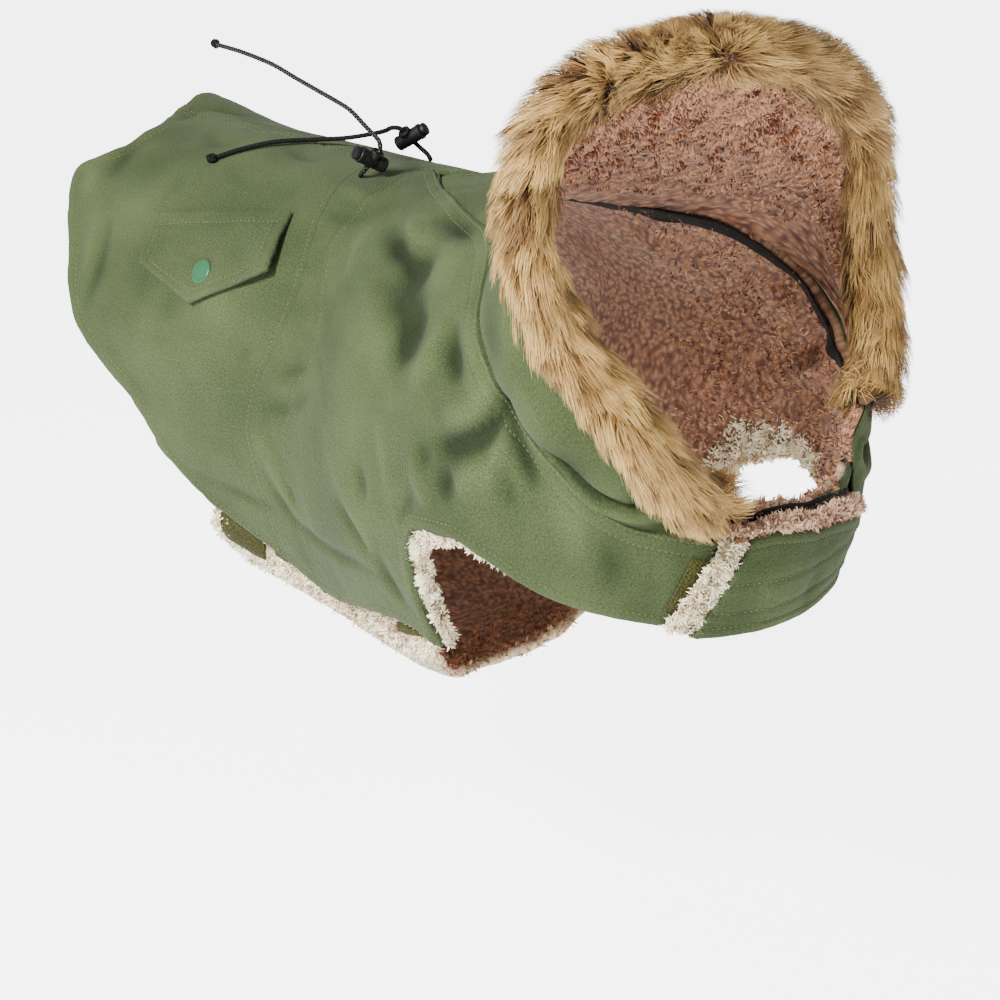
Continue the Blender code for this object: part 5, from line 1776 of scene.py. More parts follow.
@dataclass
class Pocket:
    """The flap on the right rear half and the cap of its press stud."""

    body: Body
    canvas: Material
    paint: Material
    top: tuple[Edge, Edge] = (Edge(-119.6, 50.0), Edge(-45.6, 39.1))
    low: tuple[tuple[float, Edge], ...] = ((0.0, Edge(-114, 64.8)), (0.56, Edge(-76, 72.8)), (1.0, Edge(-42, 58.8)))
    face: float = 2.3
    thickness: float = 1.5
    band: float = 7.6
    stud_at: tuple[float, float] = (-75.2, 63.2)
    stud: tuple[float, float] = (6.6, 2.6)

    def spot(self, u: Array, v: Array) -> tuple[Array, Array]:
        """Run and angle on the flap, by the share of the way across it and down it."""
        shares = [share for share, _ in self.low]
        low_run = np.interp(u, shares, [edge.run for _, edge in self.low])
        low_angle = np.interp(u, shares, [edge.angle for _, edge in self.low])
        top_run = self.top[0].run + (self.top[1].run - self.top[0].run) * u
        top_angle = self.top[0].angle + (self.top[1].angle - self.top[0].angle) * u
        return top_run + (low_run - top_run) * v, top_angle + (low_angle - top_angle) * v

    def edge_gap(self, u: Array, v: Array) -> tuple[Array, Array]:
        """How far a place on the flap is from its loose edges and from its top."""
        at = chart(*self.spot(u, v))
        t = np.linspace(0, 1, 12)
        rim = np.vstack([chart(*self.spot(0 * t, t)), chart(*self.spot(t[1:], 0 * t[1:] + 1)),
                         chart(*self.spot(0 * t[1:] + 1, t[::-1][1:]))])
        top = chart(*self.spot(t, 0 * t))
        return nearest_on(at, rim)[0], nearest_on(at, top)[0]

    def height(self, u: Array, v: Array) -> Array:
        """How far the flap's face stands out over the shell."""
        loose, top = self.edge_gap(u, v)
        run, angle = self.spot(u, v)
        lift = 1.6 * v * v * np.abs(u - 0.3) + 3.1 * ease(u, 0.72, 1.0) * ease(v, 0.05, 0.5) + 1.7 * ease(v, 0.5, 1.0)
        band = 0.45 * ease(-top, 0.2 - self.band, 1 - self.band) - 0.35 * bell(top - self.band, 0.7)
        hem = -0.9 * (1 - np.clip(loose / 1.6, 0, 1)) ** 2 * (top > 0.5) - 0.3 * bell(loose - 4.4, 0.7)
        around = angle * DEGREE_MM
        wave = 0.5 * ripple(run, around, 16, 91) + 0.3 * ripple(run, around, 6.5, 93) * np.exp(-loose / 5)
        dimple = -0.7 * bell(np.hypot(run - self.stud_at[0], (angle - self.stud_at[1]) * DEGREE_MM), 9)
        return self.face + lift + band + hem + wave * ease(top, 0, 5) + dimple

    def flap(self) -> Object:
        """The flap, sewn along its top and loose below."""

        def place(u: Array, v: Array, layer: Array) -> Laid:
            """Each corner's place."""
            run, angle = self.spot(u, v)
            height = self.height(u, v) + 0.85 * self.body.relief(run, angle)
            return Laid(self.body.raised(run, angle, height - self.thickness * layer), chart(run, angle), height)

        return cloth("pocket_flap_cloth", (84, 44), place, self.canvas, (0.3, 0.4))

    def rows(self) -> list[tuple[Array, Array]]:
        """The flap's topstitch rows, as lines of points and the way that the cloth faces."""
        t = np.linspace(0.02, 0.98, 90)
        top, low = (self.spot(t, 0 * t + end)[1] for end in (0, 1))
        down = self.band / ((low - top) * DEGREE_MM)
        inner = t[(t > 0.065) & (t < 0.925)]
        lines = [(t, down), (0 * t + 0.065, np.linspace(down[0], 0.86, 90)), (inner, 0 * inner + 0.86),
                 (0 * t + 0.925, np.linspace(down[-1], 0.86, 90))]
        rows = []
        for u, v in lines:
            run, angle = self.spot(u, v)
            under = self.height(u, v) + 0.85 * self.body.relief(run, angle)
            face = self.body.raised(run, angle, under)
            rows.append((face, unit(self.body.raised(run, angle, under + 1) - face)))
        return rows

    def cap(self) -> Object:
        """The press stud's painted cap, domed with a turned rim."""
        run, angle = (np.array([value]) for value in self.stud_at)
        foot = self.body.raised(run, angle, self.face + 0.4)[0]
        outward = Vector(unit(self.body.raised(run, angle, 10.0)[0] - self.body.raised(run, angle, 0.0)[0]))
        radius, tall = self.stud
        profile = [(0.0, 0.0), (radius * 0.8, 0.0), (radius - 0.3, 0.35), (radius, 0.9), (radius - 0.15, 1.5),
                   (radius - 0.7, 1.95), (radius - 1.3, 2.0), (radius - 1.8, 1.85), (radius * 0.55, 2.2),
                   (radius * 0.25, tall - 0.1), (0.0, tall)]
        return turned_piece("press_stud_cap", profile, 56, outward, Vector(foot), self.paint, 60)

    def build(self) -> None:
        """Makes the pocket's pieces."""
        keep(self.flap(), "olive_canvas", "pocket_flap")
        keep(self.cap(), "green_stud", "press_stud")


@dataclass
class Closures:
    """The hook-and-loop patches: two on the belly panel and one on the right chest."""

    body: Body
    lining: Lining
    loop: Material
    belly_runs: tuple[float, float] = (-64.0, 82.0)
    belly_angles: tuple[float, float] = (127.6, 138.6)
    belly_half: float = 12.5
    chest: tuple[Edge, Edge, Edge, Edge] = (Edge(272, 101.8), Edge(292, 101.8), Edge(260.5, 115), Edge(280, 115))

    def rough(self, u: Array, v: Array, run: Array, angle: Array) -> Array:
        """The patch's loops, flattened along its sewn border."""
        border = np.minimum(np.minimum(u, 1 - u), np.minimum(v, 1 - v))
        loops = 0.55 * tufts(run, angle * DEGREE_MM, 1.6, 3) + 0.3 * ripple(run, angle * DEGREE_MM, 1.1, 6)
        return loops * ease(border, 0.04, 0.12) - 0.35 * bell(border - 0.085, 0.02) - 0.5 * (1 - ease(border, 0, 0.03))

    def belly_patch(self, label: str, middle: float) -> Object:
        """A patch on the belly panel's face."""

        def place(u: Array, v: Array, layer: Array) -> Laid:
            """Each corner's place."""
            run = middle + self.belly_half * (2 * u - 1)
            angle = self.belly_angles[0] + (self.belly_angles[1] - self.belly_angles[0]) * v
            out = 1.2 + 1.1 * (1 - layer) + self.rough(u, v, run, angle) * (1 - layer)
            return Laid(self.lining.belly_point(run, angle, out), chart(run, angle))

        return cloth(f"loop_patch_{label}", (30, 32), place, self.loop, (0.3, 0.3))

    def chest_patch(self) -> Object:
        """The patch on the right chest, half under the left one."""
        top_rear, top_front, low_rear, low_front = self.chest

        def place(u: Array, v: Array, layer: Array) -> Laid:
            """Each corner's place."""
            run = (1 - v) * (top_rear.run + (top_front.run - top_rear.run) * u)
            run = run + v * (low_rear.run + (low_front.run - low_rear.run) * u)
            angle = (1 - v) * top_rear.angle + v * low_rear.angle
            out = 1.3 - layer + self.rough(u, v, run, angle) * (1 - layer) + self.body.relief(run, angle)
            return Laid(self.body.raised(run, angle, out), chart(run, angle))

        return cloth("loop_patch_chest", (28, 34), place, self.loop, (0.3, 0.3))

    def build(self) -> None:
        """Makes the patches."""
        for label, middle in zip(("rear", "front"), self.belly_runs):
            keep(self.belly_patch(label, middle), "hook_and_loop", f"belly_patch_{label}")
        keep(self.chest_patch(), "hook_and_loop", "chest_patch")


@dataclass
class Stitching:
    """The topstitch rows of the shell and the pocket."""

    body: Body
    thread: Material
    pitch: float = 3.1
    length: float = 2.3
    width: float = 0.62
    ring: int = 4
    steps: int = 3

    def body_row(self, seam: Seam, row: float) -> tuple[Array, Array]:
        """One row beside a seam, as a line of points and the way that the cloth faces."""
        gone = np.concatenate([[0], np.cumsum(np.hypot(*np.diff(seam.line, axis=0).T))])
        at = np.arange(1.0, gone[-1] - 1.0, 1.0)
        path = read_at(at, gone, seam.line)
        even = np.ones(9) / 9
        smooth = np.stack([np.convolve(np.pad(column, 4, mode="edge"), even, "valid") for column in path.T], axis=-1)
        step = unit(np.gradient(smooth, axis=0))
        path = path + np.stack([-step[:, 1], step[:, 0]], axis=-1) * row
        run, angle = path[:, 0], path[:, 1] / DEGREE_MM
        side = Side.RIGHT if angle.mean() >= 0 else Side.LEFT
        face = self.body.cloth_point(side, run, angle, 0.0)
        return face, unit(self.body.cloth_point(side, run, angle, 1.0) - face)

    def sew(self, name: str, rows: Sequence[tuple[Array, Array]]) -> Object:
        """Makes the stitches of some rows.

        Args:
            name: The piece's name.
            rows: Each row's points and the way that the cloth faces there.

        Returns:
            The piece.
        """
        heads, ways, tops = [], [], []
        for points, facing in rows:
            gone = gone_along(points)
            at = np.arange(self.pitch, gone[-1] - self.pitch, self.pitch)
            uneven = at + 0.25 * (scattered(at, 0 * at, 5) - 0.5)
            centre, ahead, up = (
                read_at(uneven + shift, gone, table) for shift, table in ((0, points), (0.6, points), (0, facing))
            )
            heads.append(centre)
            ways.append(unit(ahead - centre))
            tops.append(unit(up))
        centre, way, up = np.vstack(heads), np.vstack(ways), np.vstack(tops)
        aside = np.cross(way, up)
        span = self.ring + 1
        mesh, column, row = grid_mesh(name, len(centre) * span - 1, self.steps, span)
        stitch, corner = column // span, column % span % self.ring
        turn = corner * 2 * math.pi / self.ring
        along = np.array([-0.5, -0.26, 0.26, 0.5])[row] * self.length
        thick = np.array([0.0, 0.5, 0.5, 0.0])[row] * self.width
        lift = np.array([-0.28, 0.12, 0.12, -0.28])[row]
        tilt = 0.16 * self.length * np.array([-0.5, -0.26, 0.26, 0.5])[row]
        points = centre[stitch] + way[stitch] * along[:, None] + aside[stitch] * (thick * np.cos(turn) + tilt)[:, None]
        points = points + up[stitch] * (thick * 0.8 * np.sin(turn) + lift)[:, None]
        set_points(mesh, points)
        lay_uv(mesh, np.stack([along + stitch * 3.0, thick * turn], axis=-1))
        return finished(mesh, name, self.thread, merge=0.002)

    def build(self, pocket: Pocket) -> None:
        """Sews every row."""
        for seam in self.body.seams:
            LOG.info("seam %s: %d rows of stitches", seam.name, len(seam.rows))
        rows = [self.body_row(seam, row) for seam in self.body.seams for row in seam.rows]
        keep(self.sew("stitches_shell", rows), "olive_canvas")
        keep(self.sew("stitches_pocket", pocket.rows()), "olive_canvas")


def set_inputs(node: Node, **values: object) -> Node:
    """Gives a node's inputs plain values, by their names with _ for a space, and returns the node."""
    for name, value in values.items():
        node.inputs[name.replace("_", " ")].default_value = value
    return node


class Tree:
    """Short calls for one node tree."""

    def __init__(self, tree: NodeTree) -> None:
        """Takes the tree to work on."""
        self.tree = tree

    def node(self, kind: str, **settings: object) -> Node:
        """Adds a node and sets its own properties."""
        node = self.tree.nodes.new(f"ShaderNode{kind}")
        for name, value in settings.items():
            setattr(node, name, value)
        return node

    def own_map(self, name: str) -> NodeSocket:
        """The piece's own UV map of that name."""
        return self.node("UVMap", uv_map=name).outputs["UV"]

    def join(self, source: NodeSocket, target: NodeSocket) -> None:
        """Links an output to an input."""
        self.tree.links.new(source, target)

    def axes(self, vector: NodeSocket) -> tuple[NodeSocket, NodeSocket]:
        """A vector's x and y."""
        parts = self.node("SeparateXYZ")
        self.join(vector, parts.inputs[0])
        return parts.outputs[0], parts.outputs[1]

    def maths(self, operation: str, *values: NodeSocket | float) -> NodeSocket:
        """A Math node of linked or plain values.

        Args:
            operation: The node's operation.
            values: Its inputs.

        Returns:
            Its output.
        """
        node = self.node("Math", operation=operation)
        for slot, value in zip(node.inputs, values):
            if isinstance(value, (int, float)):
                slot.default_value = value
            else:
                self.join(value, slot)
        return node.outputs[0]

    def noise(self, vector: NodeSocket, scale: float, detail: float = 2.0,
              stretch: tuple[float, float, float] | None = None) -> NodeSocket:
        """A Noise Texture's value.

        Args:
            vector: Where it is read.
            scale: How fine it is.
            detail: Its octaves.
            stretch: Scales of its three axes first.

        Returns:
            Its Fac.
        """
        if stretch:
            mapping = set_inputs(self.node("Mapping"), Scale=stretch)
            self.join(vector, mapping.inputs["Vector"])
            vector = mapping.outputs["Vector"]
        node = set_inputs(self.node("TexNoise"), Scale=scale, Detail=detail)
        self.join(vector, node.inputs["Vector"])
        return node.outputs["Fac"]

    def ramp(self, value: NodeSocket, stops: Sequence[tuple[float, Colour]]) -> NodeSocket:
        """A colour ramp.

        Args:
            value: What it is read by.
            stops: Positions and their colours.

        Returns:
            Its colour.
        """
        node = self.node("ValToRGB")
        stretch = node.color_ramp.elements
        while len(stretch) < len(stops):
            stretch.new(0.5)
        for stop, (position, colour) in zip(stretch, stops):
            stop.position, stop.color = position, (*colour, 1.0)
        self.join(value, node.inputs["Fac"])
        return node.outputs["Color"]

    def blend(self, share: NodeSocket | float, first: NodeSocket | Colour,
              second: NodeSocket | Colour, kind: str = "MIX") -> NodeSocket:
        """A mix of two colours.

        Args:
            share: How much of the second there is.
            first: The first colour.
            second: The second one.
            kind: How they mix.

        Returns:
            The mixed colour.
        """
        node = self.node("Mix", data_type="RGBA", blend_type=kind)
        for slot, value in ((node.inputs["Factor"], share), (node.inputs[6], first), (node.inputs[7], second)):
            if isinstance(value, NodeSocket):
                self.join(value, slot)
            else:
                slot.default_value = value if isinstance(value, (int, float)) else (*value, 1.0)
        return node.outputs[2]


def new_group(name: str, inputs: Sequence[tuple[str, str, float]], outputs: Sequence[str]) -> tuple:
    """Starts a shader node group.

    Args:
        name: Its name.
        inputs: Each input's name, kind and value.
        outputs: The names of its values.

    Returns:
        The group, its short calls, and its input and output nodes.
    """
    group = bpy.data.node_groups.new(name, "ShaderNodeTree")
    for label, kind, value in inputs:
        socket = group.interface.new_socket(label, in_out="INPUT", socket_type=f"NodeSocket{kind}")
        if kind == "Float":
            socket.default_value = value
    for label in outputs:
        group.interface.new_socket(label, in_out="OUTPUT", socket_type="NodeSocketFloat")
    source, sink = group.nodes.new("NodeGroupInput"), group.nodes.new("NodeGroupOutput")
    return group, Tree(group), source.outputs, sink.inputs


@dataclass
class Textures:
    """The effects that several finishes share, as node groups."""

    weave: NodeTree = field(init=False)
    mottle: NodeTree = field(init=False)
    curls: NodeTree = field(init=False)
    crumple: NodeTree = field(init=False)

    def __post_init__(self) -> None:
        """Builds each group once."""
        self.weave, self.mottle = self.make_weave(), self.make_mottle()
        self.curls, self.crumple = self.make_curls(), self.make_crumple()

    def make_weave(self) -> NodeTree:
        """A plain weave with uneven threads: Height, and Shade between the threads."""
        group, tree, given, out = new_group(
            "weave", (("Vector", "Vector", 0), ("Threads", "Float", 1500), ("Slub", "Float", 0.5)), ("Height", "Shade"),
        )
        threads = []
        for axis, stretch in zip(tree.axes(given["Vector"]), ((420.0, 26.0, 1.0), (26.0, 420.0, 1.0))):
            slub = tree.noise(given["Vector"], 1.0, 2.0, stretch)
            wobble = tree.maths("MULTIPLY", tree.maths("SUBTRACT", slub, 0.5), given["Slub"])
            turns = tree.maths("MULTIPLY", axis, given["Threads"])
            wave = tree.maths("SINE", tree.maths("MULTIPLY", tree.maths("ADD", turns, wobble), math.pi))
            threads.append((wave, slub))
        over = tree.maths("MULTIPLY", threads[0][0], threads[1][0])
        uneven = tree.maths("ADD", threads[0][1], threads[1][1])
        height = tree.maths("ADD", tree.maths("MULTIPLY", over, 0.5), tree.maths("MULTIPLY", uneven, 0.9))
        tree.join(height, out["Height"])
        shade = tree.maths("ADD", tree.maths("MULTIPLY", tree.maths("ABSOLUTE", over), 0.35),
                           tree.maths("MULTIPLY", uneven, 0.4))
        tree.join(shade, out["Shade"])
        return group

    def make_mottle(self) -> NodeTree:
        """Faint cloudy and speckled unevenness of a dyed surface."""
        group, tree, given, out = new_group(
            "mottle", (("Vector", "Vector", 0), ("Cloud", "Float", 22), ("Speck", "Float", 600)), ("Value",),
        )
        cloud, speck = tree.node("TexNoise"), tree.node("TexNoise")
        for node, label, detail in ((cloud, "Cloud", 4.0), (speck, "Speck", 3.0)):
            tree.join(given["Vector"], node.inputs["Vector"])
            tree.join(given[label], node.inputs["Scale"])
            set_inputs(node, Detail=detail)
        both = tree.maths("ADD", tree.maths("MULTIPLY", cloud.outputs["Fac"], 0.4),
                          tree.maths("MULTIPLY", speck.outputs["Fac"], 0.6))
        tree.join(both, out["Value"])
        return group

    def make_crumple(self) -> NodeTree:
        """The small dents and soft creases of washed cloth: Height."""
        group, tree, given, out = new_group(
            "crumple", (("Vector", "Vector", 0), ("Large", "Float", 75), ("Small", "Float", 300)), ("Height",),
        )
        parts = []
        for label, detail, distortion in (("Large", 3.0, 0.7), ("Small", 4.0, 0.3)):
            node = set_inputs(tree.node("TexNoise"), Detail=detail, Distortion=distortion)
            tree.join(given["Vector"], node.inputs["Vector"])
            tree.join(given[label], node.inputs["Scale"])
            centred = tree.maths("ABSOLUTE", tree.maths("SUBTRACT", node.outputs["Fac"], 0.5))
            parts.append(tree.maths("SQRT", tree.maths("ADD", centred, 0.004)))
        tree.join(tree.maths("ADD", parts[0], tree.maths("MULTIPLY", parts[1], 0.34)), out["Height"])
        return group

    def make_curls(self) -> NodeTree:
        """Curled pile: Height of the small curls, and Shade down between them."""
        group, tree, given, out = new_group(
            "curls", (("Vector", "Vector", 0), ("Scale", "Float", 260), ("Warp", "Float", 0.004)), ("Height", "Shade"),
        )
        bend = set_inputs(tree.node("TexNoise"), Scale=150)
        tree.join(given["Vector"], bend.inputs["Vector"])
        shift = tree.node("VectorMath", operation="SCALE")
        tree.join(bend.outputs["Color"], shift.inputs[0])
        tree.join(given["Warp"], shift.inputs["Scale"])
        moved = tree.node("VectorMath", operation="ADD")
        tree.join(given["Vector"], moved.inputs[0])
        tree.join(shift.outputs[0], moved.inputs[1])
        cells = tree.node("TexVoronoi", feature="SMOOTH_F1")
        tree.join(moved.outputs[0], cells.inputs["Vector"])
        tree.join(given["Scale"], cells.inputs["Scale"])
        strands = tree.node("TexWave", wave_type="RINGS", rings_direction="SPHERICAL")
        set_inputs(strands, Scale=900, Distortion=9, Detail=2, Detail_Scale=1.4)
        tree.join(moved.outputs[0], strands.inputs["Vector"])
        round_top = tree.maths("SUBTRACT", 1.0, cells.outputs["Distance"])
        height = tree.maths("ADD", round_top, tree.maths("MULTIPLY", strands.outputs["Fac"], 0.16))
        tree.join(height, out["Height"])
        tree.join(tree.maths("SUBTRACT", height, 0.15), out["Shade"])
        return group


def started(name: str) -> tuple[Material, Tree, Node]:
    """A new material, the short calls for its tree, and its shader."""
    material = bpy.data.materials.new(name)
    material.use_nodes = True
    return material, Tree(material.node_tree), material.node_tree.nodes["Principled BSDF"]


def placed_group(tree: Tree, group: NodeTree, vector: NodeSocket,
                 **values: float) -> Node:
    """Puts a shared effect in a material.

    Args:
        tree: The material's tree.
        group: The effect.
        vector: Where it is read.
        values: Its own values.

    Returns:
        The group node.
    """
    node = tree.node("Group", node_tree=group)
    tree.join(vector, node.inputs["Vector"])
    return set_inputs(node, **values)


def bump(tree: Tree, shader: Node, height: NodeSocket, distance: float, strength: float) -> None:
    """Gives a shader its surface relief.

    Args:
        tree: The material's tree.
        shader: Its shader.
        height: The relief.
        distance: How deep it is, in metres.
        strength: How much of it shows.
    """
    node = set_inputs(tree.node("Bump"), Distance=distance, Strength=strength)
    tree.join(height, node.inputs["Height"])
    tree.join(node.outputs["Normal"], shader.inputs["Normal"])


@dataclass(frozen=True)
class WovenFinish:
    """Canvas, tape and other woven cloth."""

    name: str
    dark: Colour
    light: Colour
    threads: float = 1500.0
    depth: float = 0.00013
    roughness: float = 0.92
    sheen: float = 0.05
    cloud: float = 16.0
    speck: float = 1100.0
    crumpled: float = 0.0009

    def material(self, textures: Textures) -> Material:
        """Its material, read on the piece's own cloth map."""
        material, tree, shader = started(self.name)
        uv = tree.own_map("cloth")
        weave = placed_group(tree, textures.weave, uv, Threads=self.threads, Slub=0.6)
        mottle = placed_group(tree, textures.mottle, uv, Cloud=self.cloud, Speck=self.speck)
        colour = tree.ramp(mottle.outputs["Value"], ((0.40, self.dark), (0.62, self.light)))
        threads = tree.ramp(weave.outputs["Shade"], ((0.25, (0.8, 0.8, 0.8)), (0.8, (1.1, 1.1, 1.1))))
        woven = tree.blend(0.5, colour, threads, "MULTIPLY")
        # Painted shading: painted shade in the creases and painted highlight on the ridges.
        wear = tree.node("Attribute", attribute_name="wear").outputs["Fac"]
        crease_shading = tree.ramp(wear, ((0.02, (0.34, 0.37, 0.33)), (0.3, (0.74, 0.76, 0.74)), (0.44, (0.95, 0.955, 0.95)),
                                  (0.56, (1.03, 1.03, 1.03)), (0.95, (1.45, 1.42, 1.45))))
        tree.join(tree.blend(1.0, woven, crease_shading, "MULTIPLY"), shader.inputs["Base Color"])
        rough = tree.maths("MULTIPLY_ADD", mottle.outputs["Value"], 0.12, self.roughness - 0.06)
        tree.join(rough, shader.inputs["Roughness"])
        set_inputs(shader, Sheen_Weight=self.sheen, Sheen_Roughness=0.5, Specular_IOR_Level=0.16)
        crumple = placed_group(tree, textures.crumple, uv)
        share = self.crumpled / self.depth
        relief = tree.maths("MULTIPLY_ADD", crumple.outputs["Height"], share, weave.outputs["Height"])
        bump(tree, shader, relief, self.depth, 0.8)
        return material


@dataclass(frozen=True)
class SherpaFinish:
    """Curled pile, paler on its lumps and darker down between them, cream at its rims and with painted warm shade
    inside, rosier and darker.
    """

    name: str = "cream_sherpa"
    deep: Colour = (0.46, 0.28, 0.12)
    body: Colour = (0.97, 0.79, 0.48)
    tip: Colour = (1.0, 0.93, 0.70)
    shaded_deep: Colour = (0.15, 0.045, 0.020)
    shaded_body: Colour = (0.50, 0.225, 0.110)
    shaded_tip: Colour = (0.74, 0.43, 0.25)
    scale: float = 330.0

    def material(self, textures: Textures) -> Material:
        """Its material, read on the piece's own cloth map."""
        material, tree, shader = started(self.name)
        uv = tree.own_map("cloth")
        curls = placed_group(tree, textures.curls, uv, Scale=self.scale, Warp=0.004)
        mottle = placed_group(tree, textures.mottle, uv, Cloud=60, Speck=1500)
        cream = tree.ramp(curls.outputs["Shade"], ((0.3, self.deep), (0.62, self.body), (0.95, self.tip)))
        # Painted warm shade: the pile rosier and darker, mixed in by the painted shading mark.
        warm = tree.ramp(curls.outputs["Shade"], ((0.3, self.shaded_deep), (0.62, self.shaded_body), (0.95, self.shaded_tip)))
        inside = tree.node("Attribute", attribute_name="wear").outputs["Fac"]
        colour = tree.blend(inside, cream, warm)
        tint = tree.ramp(mottle.outputs["Value"], ((0.35, (0.86, 0.83, 0.79)), (0.65, (1.06, 1.05, 1.04))))
        tree.join(tree.blend(1.0, colour, tint, "MULTIPLY"), shader.inputs["Base Color"])
        set_inputs(shader, Roughness=0.95, Sheen_Weight=0.35, Sheen_Roughness=0.6, Specular_IOR_Level=0.15)
        bump(tree, shader, curls.outputs["Height"], 0.0016, 0.9)
        return material


@dataclass(frozen=True)
class MouldedFinish:
    """Moulded plastic with a fine grain, or painted metal."""

    name: str
    colour: Colour
    edge: Colour
    roughness: float = 0.34
    grain: float = 0.00005
    shine: float = 0.25
    coat: float = 0.0

    def material(self, textures: Textures) -> Material:
        """Its material, read on the piece's Object coordinates."""
        material, tree, shader = started(self.name)
        place = tree.node("TexCoord").outputs["Object"]
        mottle = placed_group(tree, textures.mottle, place, Cloud=260, Speck=2600)
        colour = tree.ramp(mottle.outputs["Value"], ((0.38, self.colour), (0.68, self.edge)))
        tree.join(colour, shader.inputs["Base Color"])
        rough = tree.maths("MULTIPLY_ADD", mottle.outputs["Value"], 0.3, self.roughness - 0.15)
        tree.join(rough, shader.inputs["Roughness"])
        set_inputs(shader, Specular_IOR_Level=self.shine, Coat_Weight=self.coat, Coat_Roughness=0.12)
        bump(tree, shader, mottle.outputs["Value"], self.grain, 0.6)
        return material


@dataclass(frozen=True)
class FurFinish:
    """Long hair: dark at the root, tan along it and pale at the tip, each hair a little different."""

    name: str = "tan_fur"
    root: Colour = (0.115, 0.055, 0.018)
    low: Colour = (0.155, 0.074, 0.021)
    middle: Colour = (0.31, 0.164, 0.042)
    tip: Colour = (0.62, 0.405, 0.140)
    darkest: Colour = (0.36, 0.29, 0.23)
    sheen: float = 0.15

    def material(self) -> Material:
        """Its material: the hair map's x is the hair's own number and its y the way along it."""
        material, tree, shader = started(self.name)
        own, way = tree.axes(tree.own_map("hair"))
        shifted = tree.maths("ADD", way, tree.maths("MULTIPLY", tree.maths("SUBTRACT", own, 0.5), 0.45))
        colour = tree.ramp(shifted, ((0.02, self.root), (0.28, self.low), (0.6, self.middle), (0.98, self.tip)))
        dark = tree.ramp(own, ((0.05, self.darkest), (0.45, (0.86, 0.84, 0.82)), (0.95, (1.25, 1.24, 1.2))))
        tree.join(tree.blend(1.0, colour, dark, "MULTIPLY"), shader.inputs["Base Color"])
        set_inputs(shader, Roughness=0.62, Specular_IOR_Level=0.3, Sheen_Weight=self.sheen, Sheen_Roughness=0.4)
        return material


@dataclass(frozen=True)
class BraidFinish:
    """A braided elastic cord, with pale flecks on its braid when given a share of them."""

    name: str = "black_cord"
    dark: Colour = (0.004, 0.004, 0.004)
    light: Colour = (0.012, 0.012, 0.011)
    fleck_colour: Colour = (0.16, 0.16, 0.13)
    fleck_share: float = 0.0
    braid: float = 2600.0

    def material(self) -> Material:
        """Its material: the map's x goes along the cord and its y round it, both in metres."""
        material, tree, shader = started(self.name)
        uv = tree.own_map("cloth")
        along, round_it = (tree.maths("MULTIPLY", axis, self.braid) for axis in tree.axes(uv))
        one = tree.maths("SINE", tree.maths("ADD", along, round_it))
        other = tree.maths("SINE", tree.maths("SUBTRACT", along, round_it))
        height = tree.maths("MAXIMUM", one, other)
        shade = tree.noise(uv, 900, 3)
        colour = tree.ramp(shade, ((0.35, self.dark), (0.7, self.light)))
        flecks = tree.maths("MULTIPLY", tree.maths("GREATER_THAN", one, 0.72), tree.maths("GREATER_THAN", other, -0.1))
        share = tree.maths("MULTIPLY", flecks, self.fleck_share)
        tree.join(tree.blend(share, colour, self.fleck_colour), shader.inputs["Base Color"])
        set_inputs(shader, Roughness=0.7, Specular_IOR_Level=0.12)
        bump(tree, shader, height, 0.0002, 0.8)
        return material


@dataclass
class Finishes:
    """Every material of the coat."""

    canvas: Material
    thread: Material
    sherpa: Material
    tape: Material
    loop: Material
    fur: Material
    cream_fibre: Material
    rosy_fibre: Material
    warm_fibre: Material
    cord: Material
    plain_cord: Material
    plastic: Material
    stud: Material

    @classmethod
    def made(cls) -> "Finishes":
        """Builds them all."""
        textures = Textures()
        return cls(
            canvas=WovenFinish("olive_canvas", (0.031, 0.0445, 0.0155), (0.068, 0.092, 0.036)).material(textures),
            thread=WovenFinish("olive_thread", (0.10, 0.12, 0.048), (0.15, 0.17, 0.075),
                               threads=4000).material(textures),
            sherpa=SherpaFinish().material(textures),
            # The tape's black also stands in for the deep shade inside the neck and between the chest flaps.
            tape=WovenFinish("black_tape", (0.006, 0.005, 0.0045), (0.014, 0.012, 0.010), threads=1100,
                             depth=0.0002).material(textures),
            loop=WovenFinish("hook_and_loop", (0.022, 0.024, 0.006), (0.082, 0.076, 0.018), threads=900, depth=0.0005,
                             roughness=0.95).material(textures),
            fur=FurFinish().material(),
            cream_fibre=FurFinish("cream_fibre", (0.80, 0.56, 0.29), (0.97, 0.80, 0.50), (1.0, 0.90, 0.63),
                                  (1.0, 0.96, 0.78), (0.92, 0.86, 0.76), 0.7).material(),
            # The next two fibres are the cream fibre with painted warm shade: the first lighter, for the chest's roll,
            # the second darker, for pile seen inside.
            rosy_fibre=FurFinish("rosy_fibre", (0.34, 0.15, 0.08), (0.56, 0.30, 0.18), (0.72, 0.44, 0.29),
                                 (0.85, 0.60, 0.43), (0.7, 0.6, 0.54)).material(),
            warm_fibre=FurFinish("warm_fibre", (0.20, 0.07, 0.030), (0.40, 0.17, 0.080), (0.56, 0.27, 0.14),
                                 (0.70, 0.40, 0.23), (0.6, 0.52, 0.46)).material(),
            # Only the near cord has the pale flecks; the far cord and the knots have none.
            cord=BraidFinish(fleck_share=0.8).material(),
            plain_cord=BraidFinish("plain_cord").material(),
            plastic=MouldedFinish("black_plastic", (0.004, 0.004, 0.004), (0.009, 0.009, 0.0085),
                                  roughness=0.5).material(textures),
            stud=MouldedFinish("green_stud", (0.022, 0.098, 0.044), (0.030, 0.125, 0.058),
                               coat=0.3).material(textures),
        )


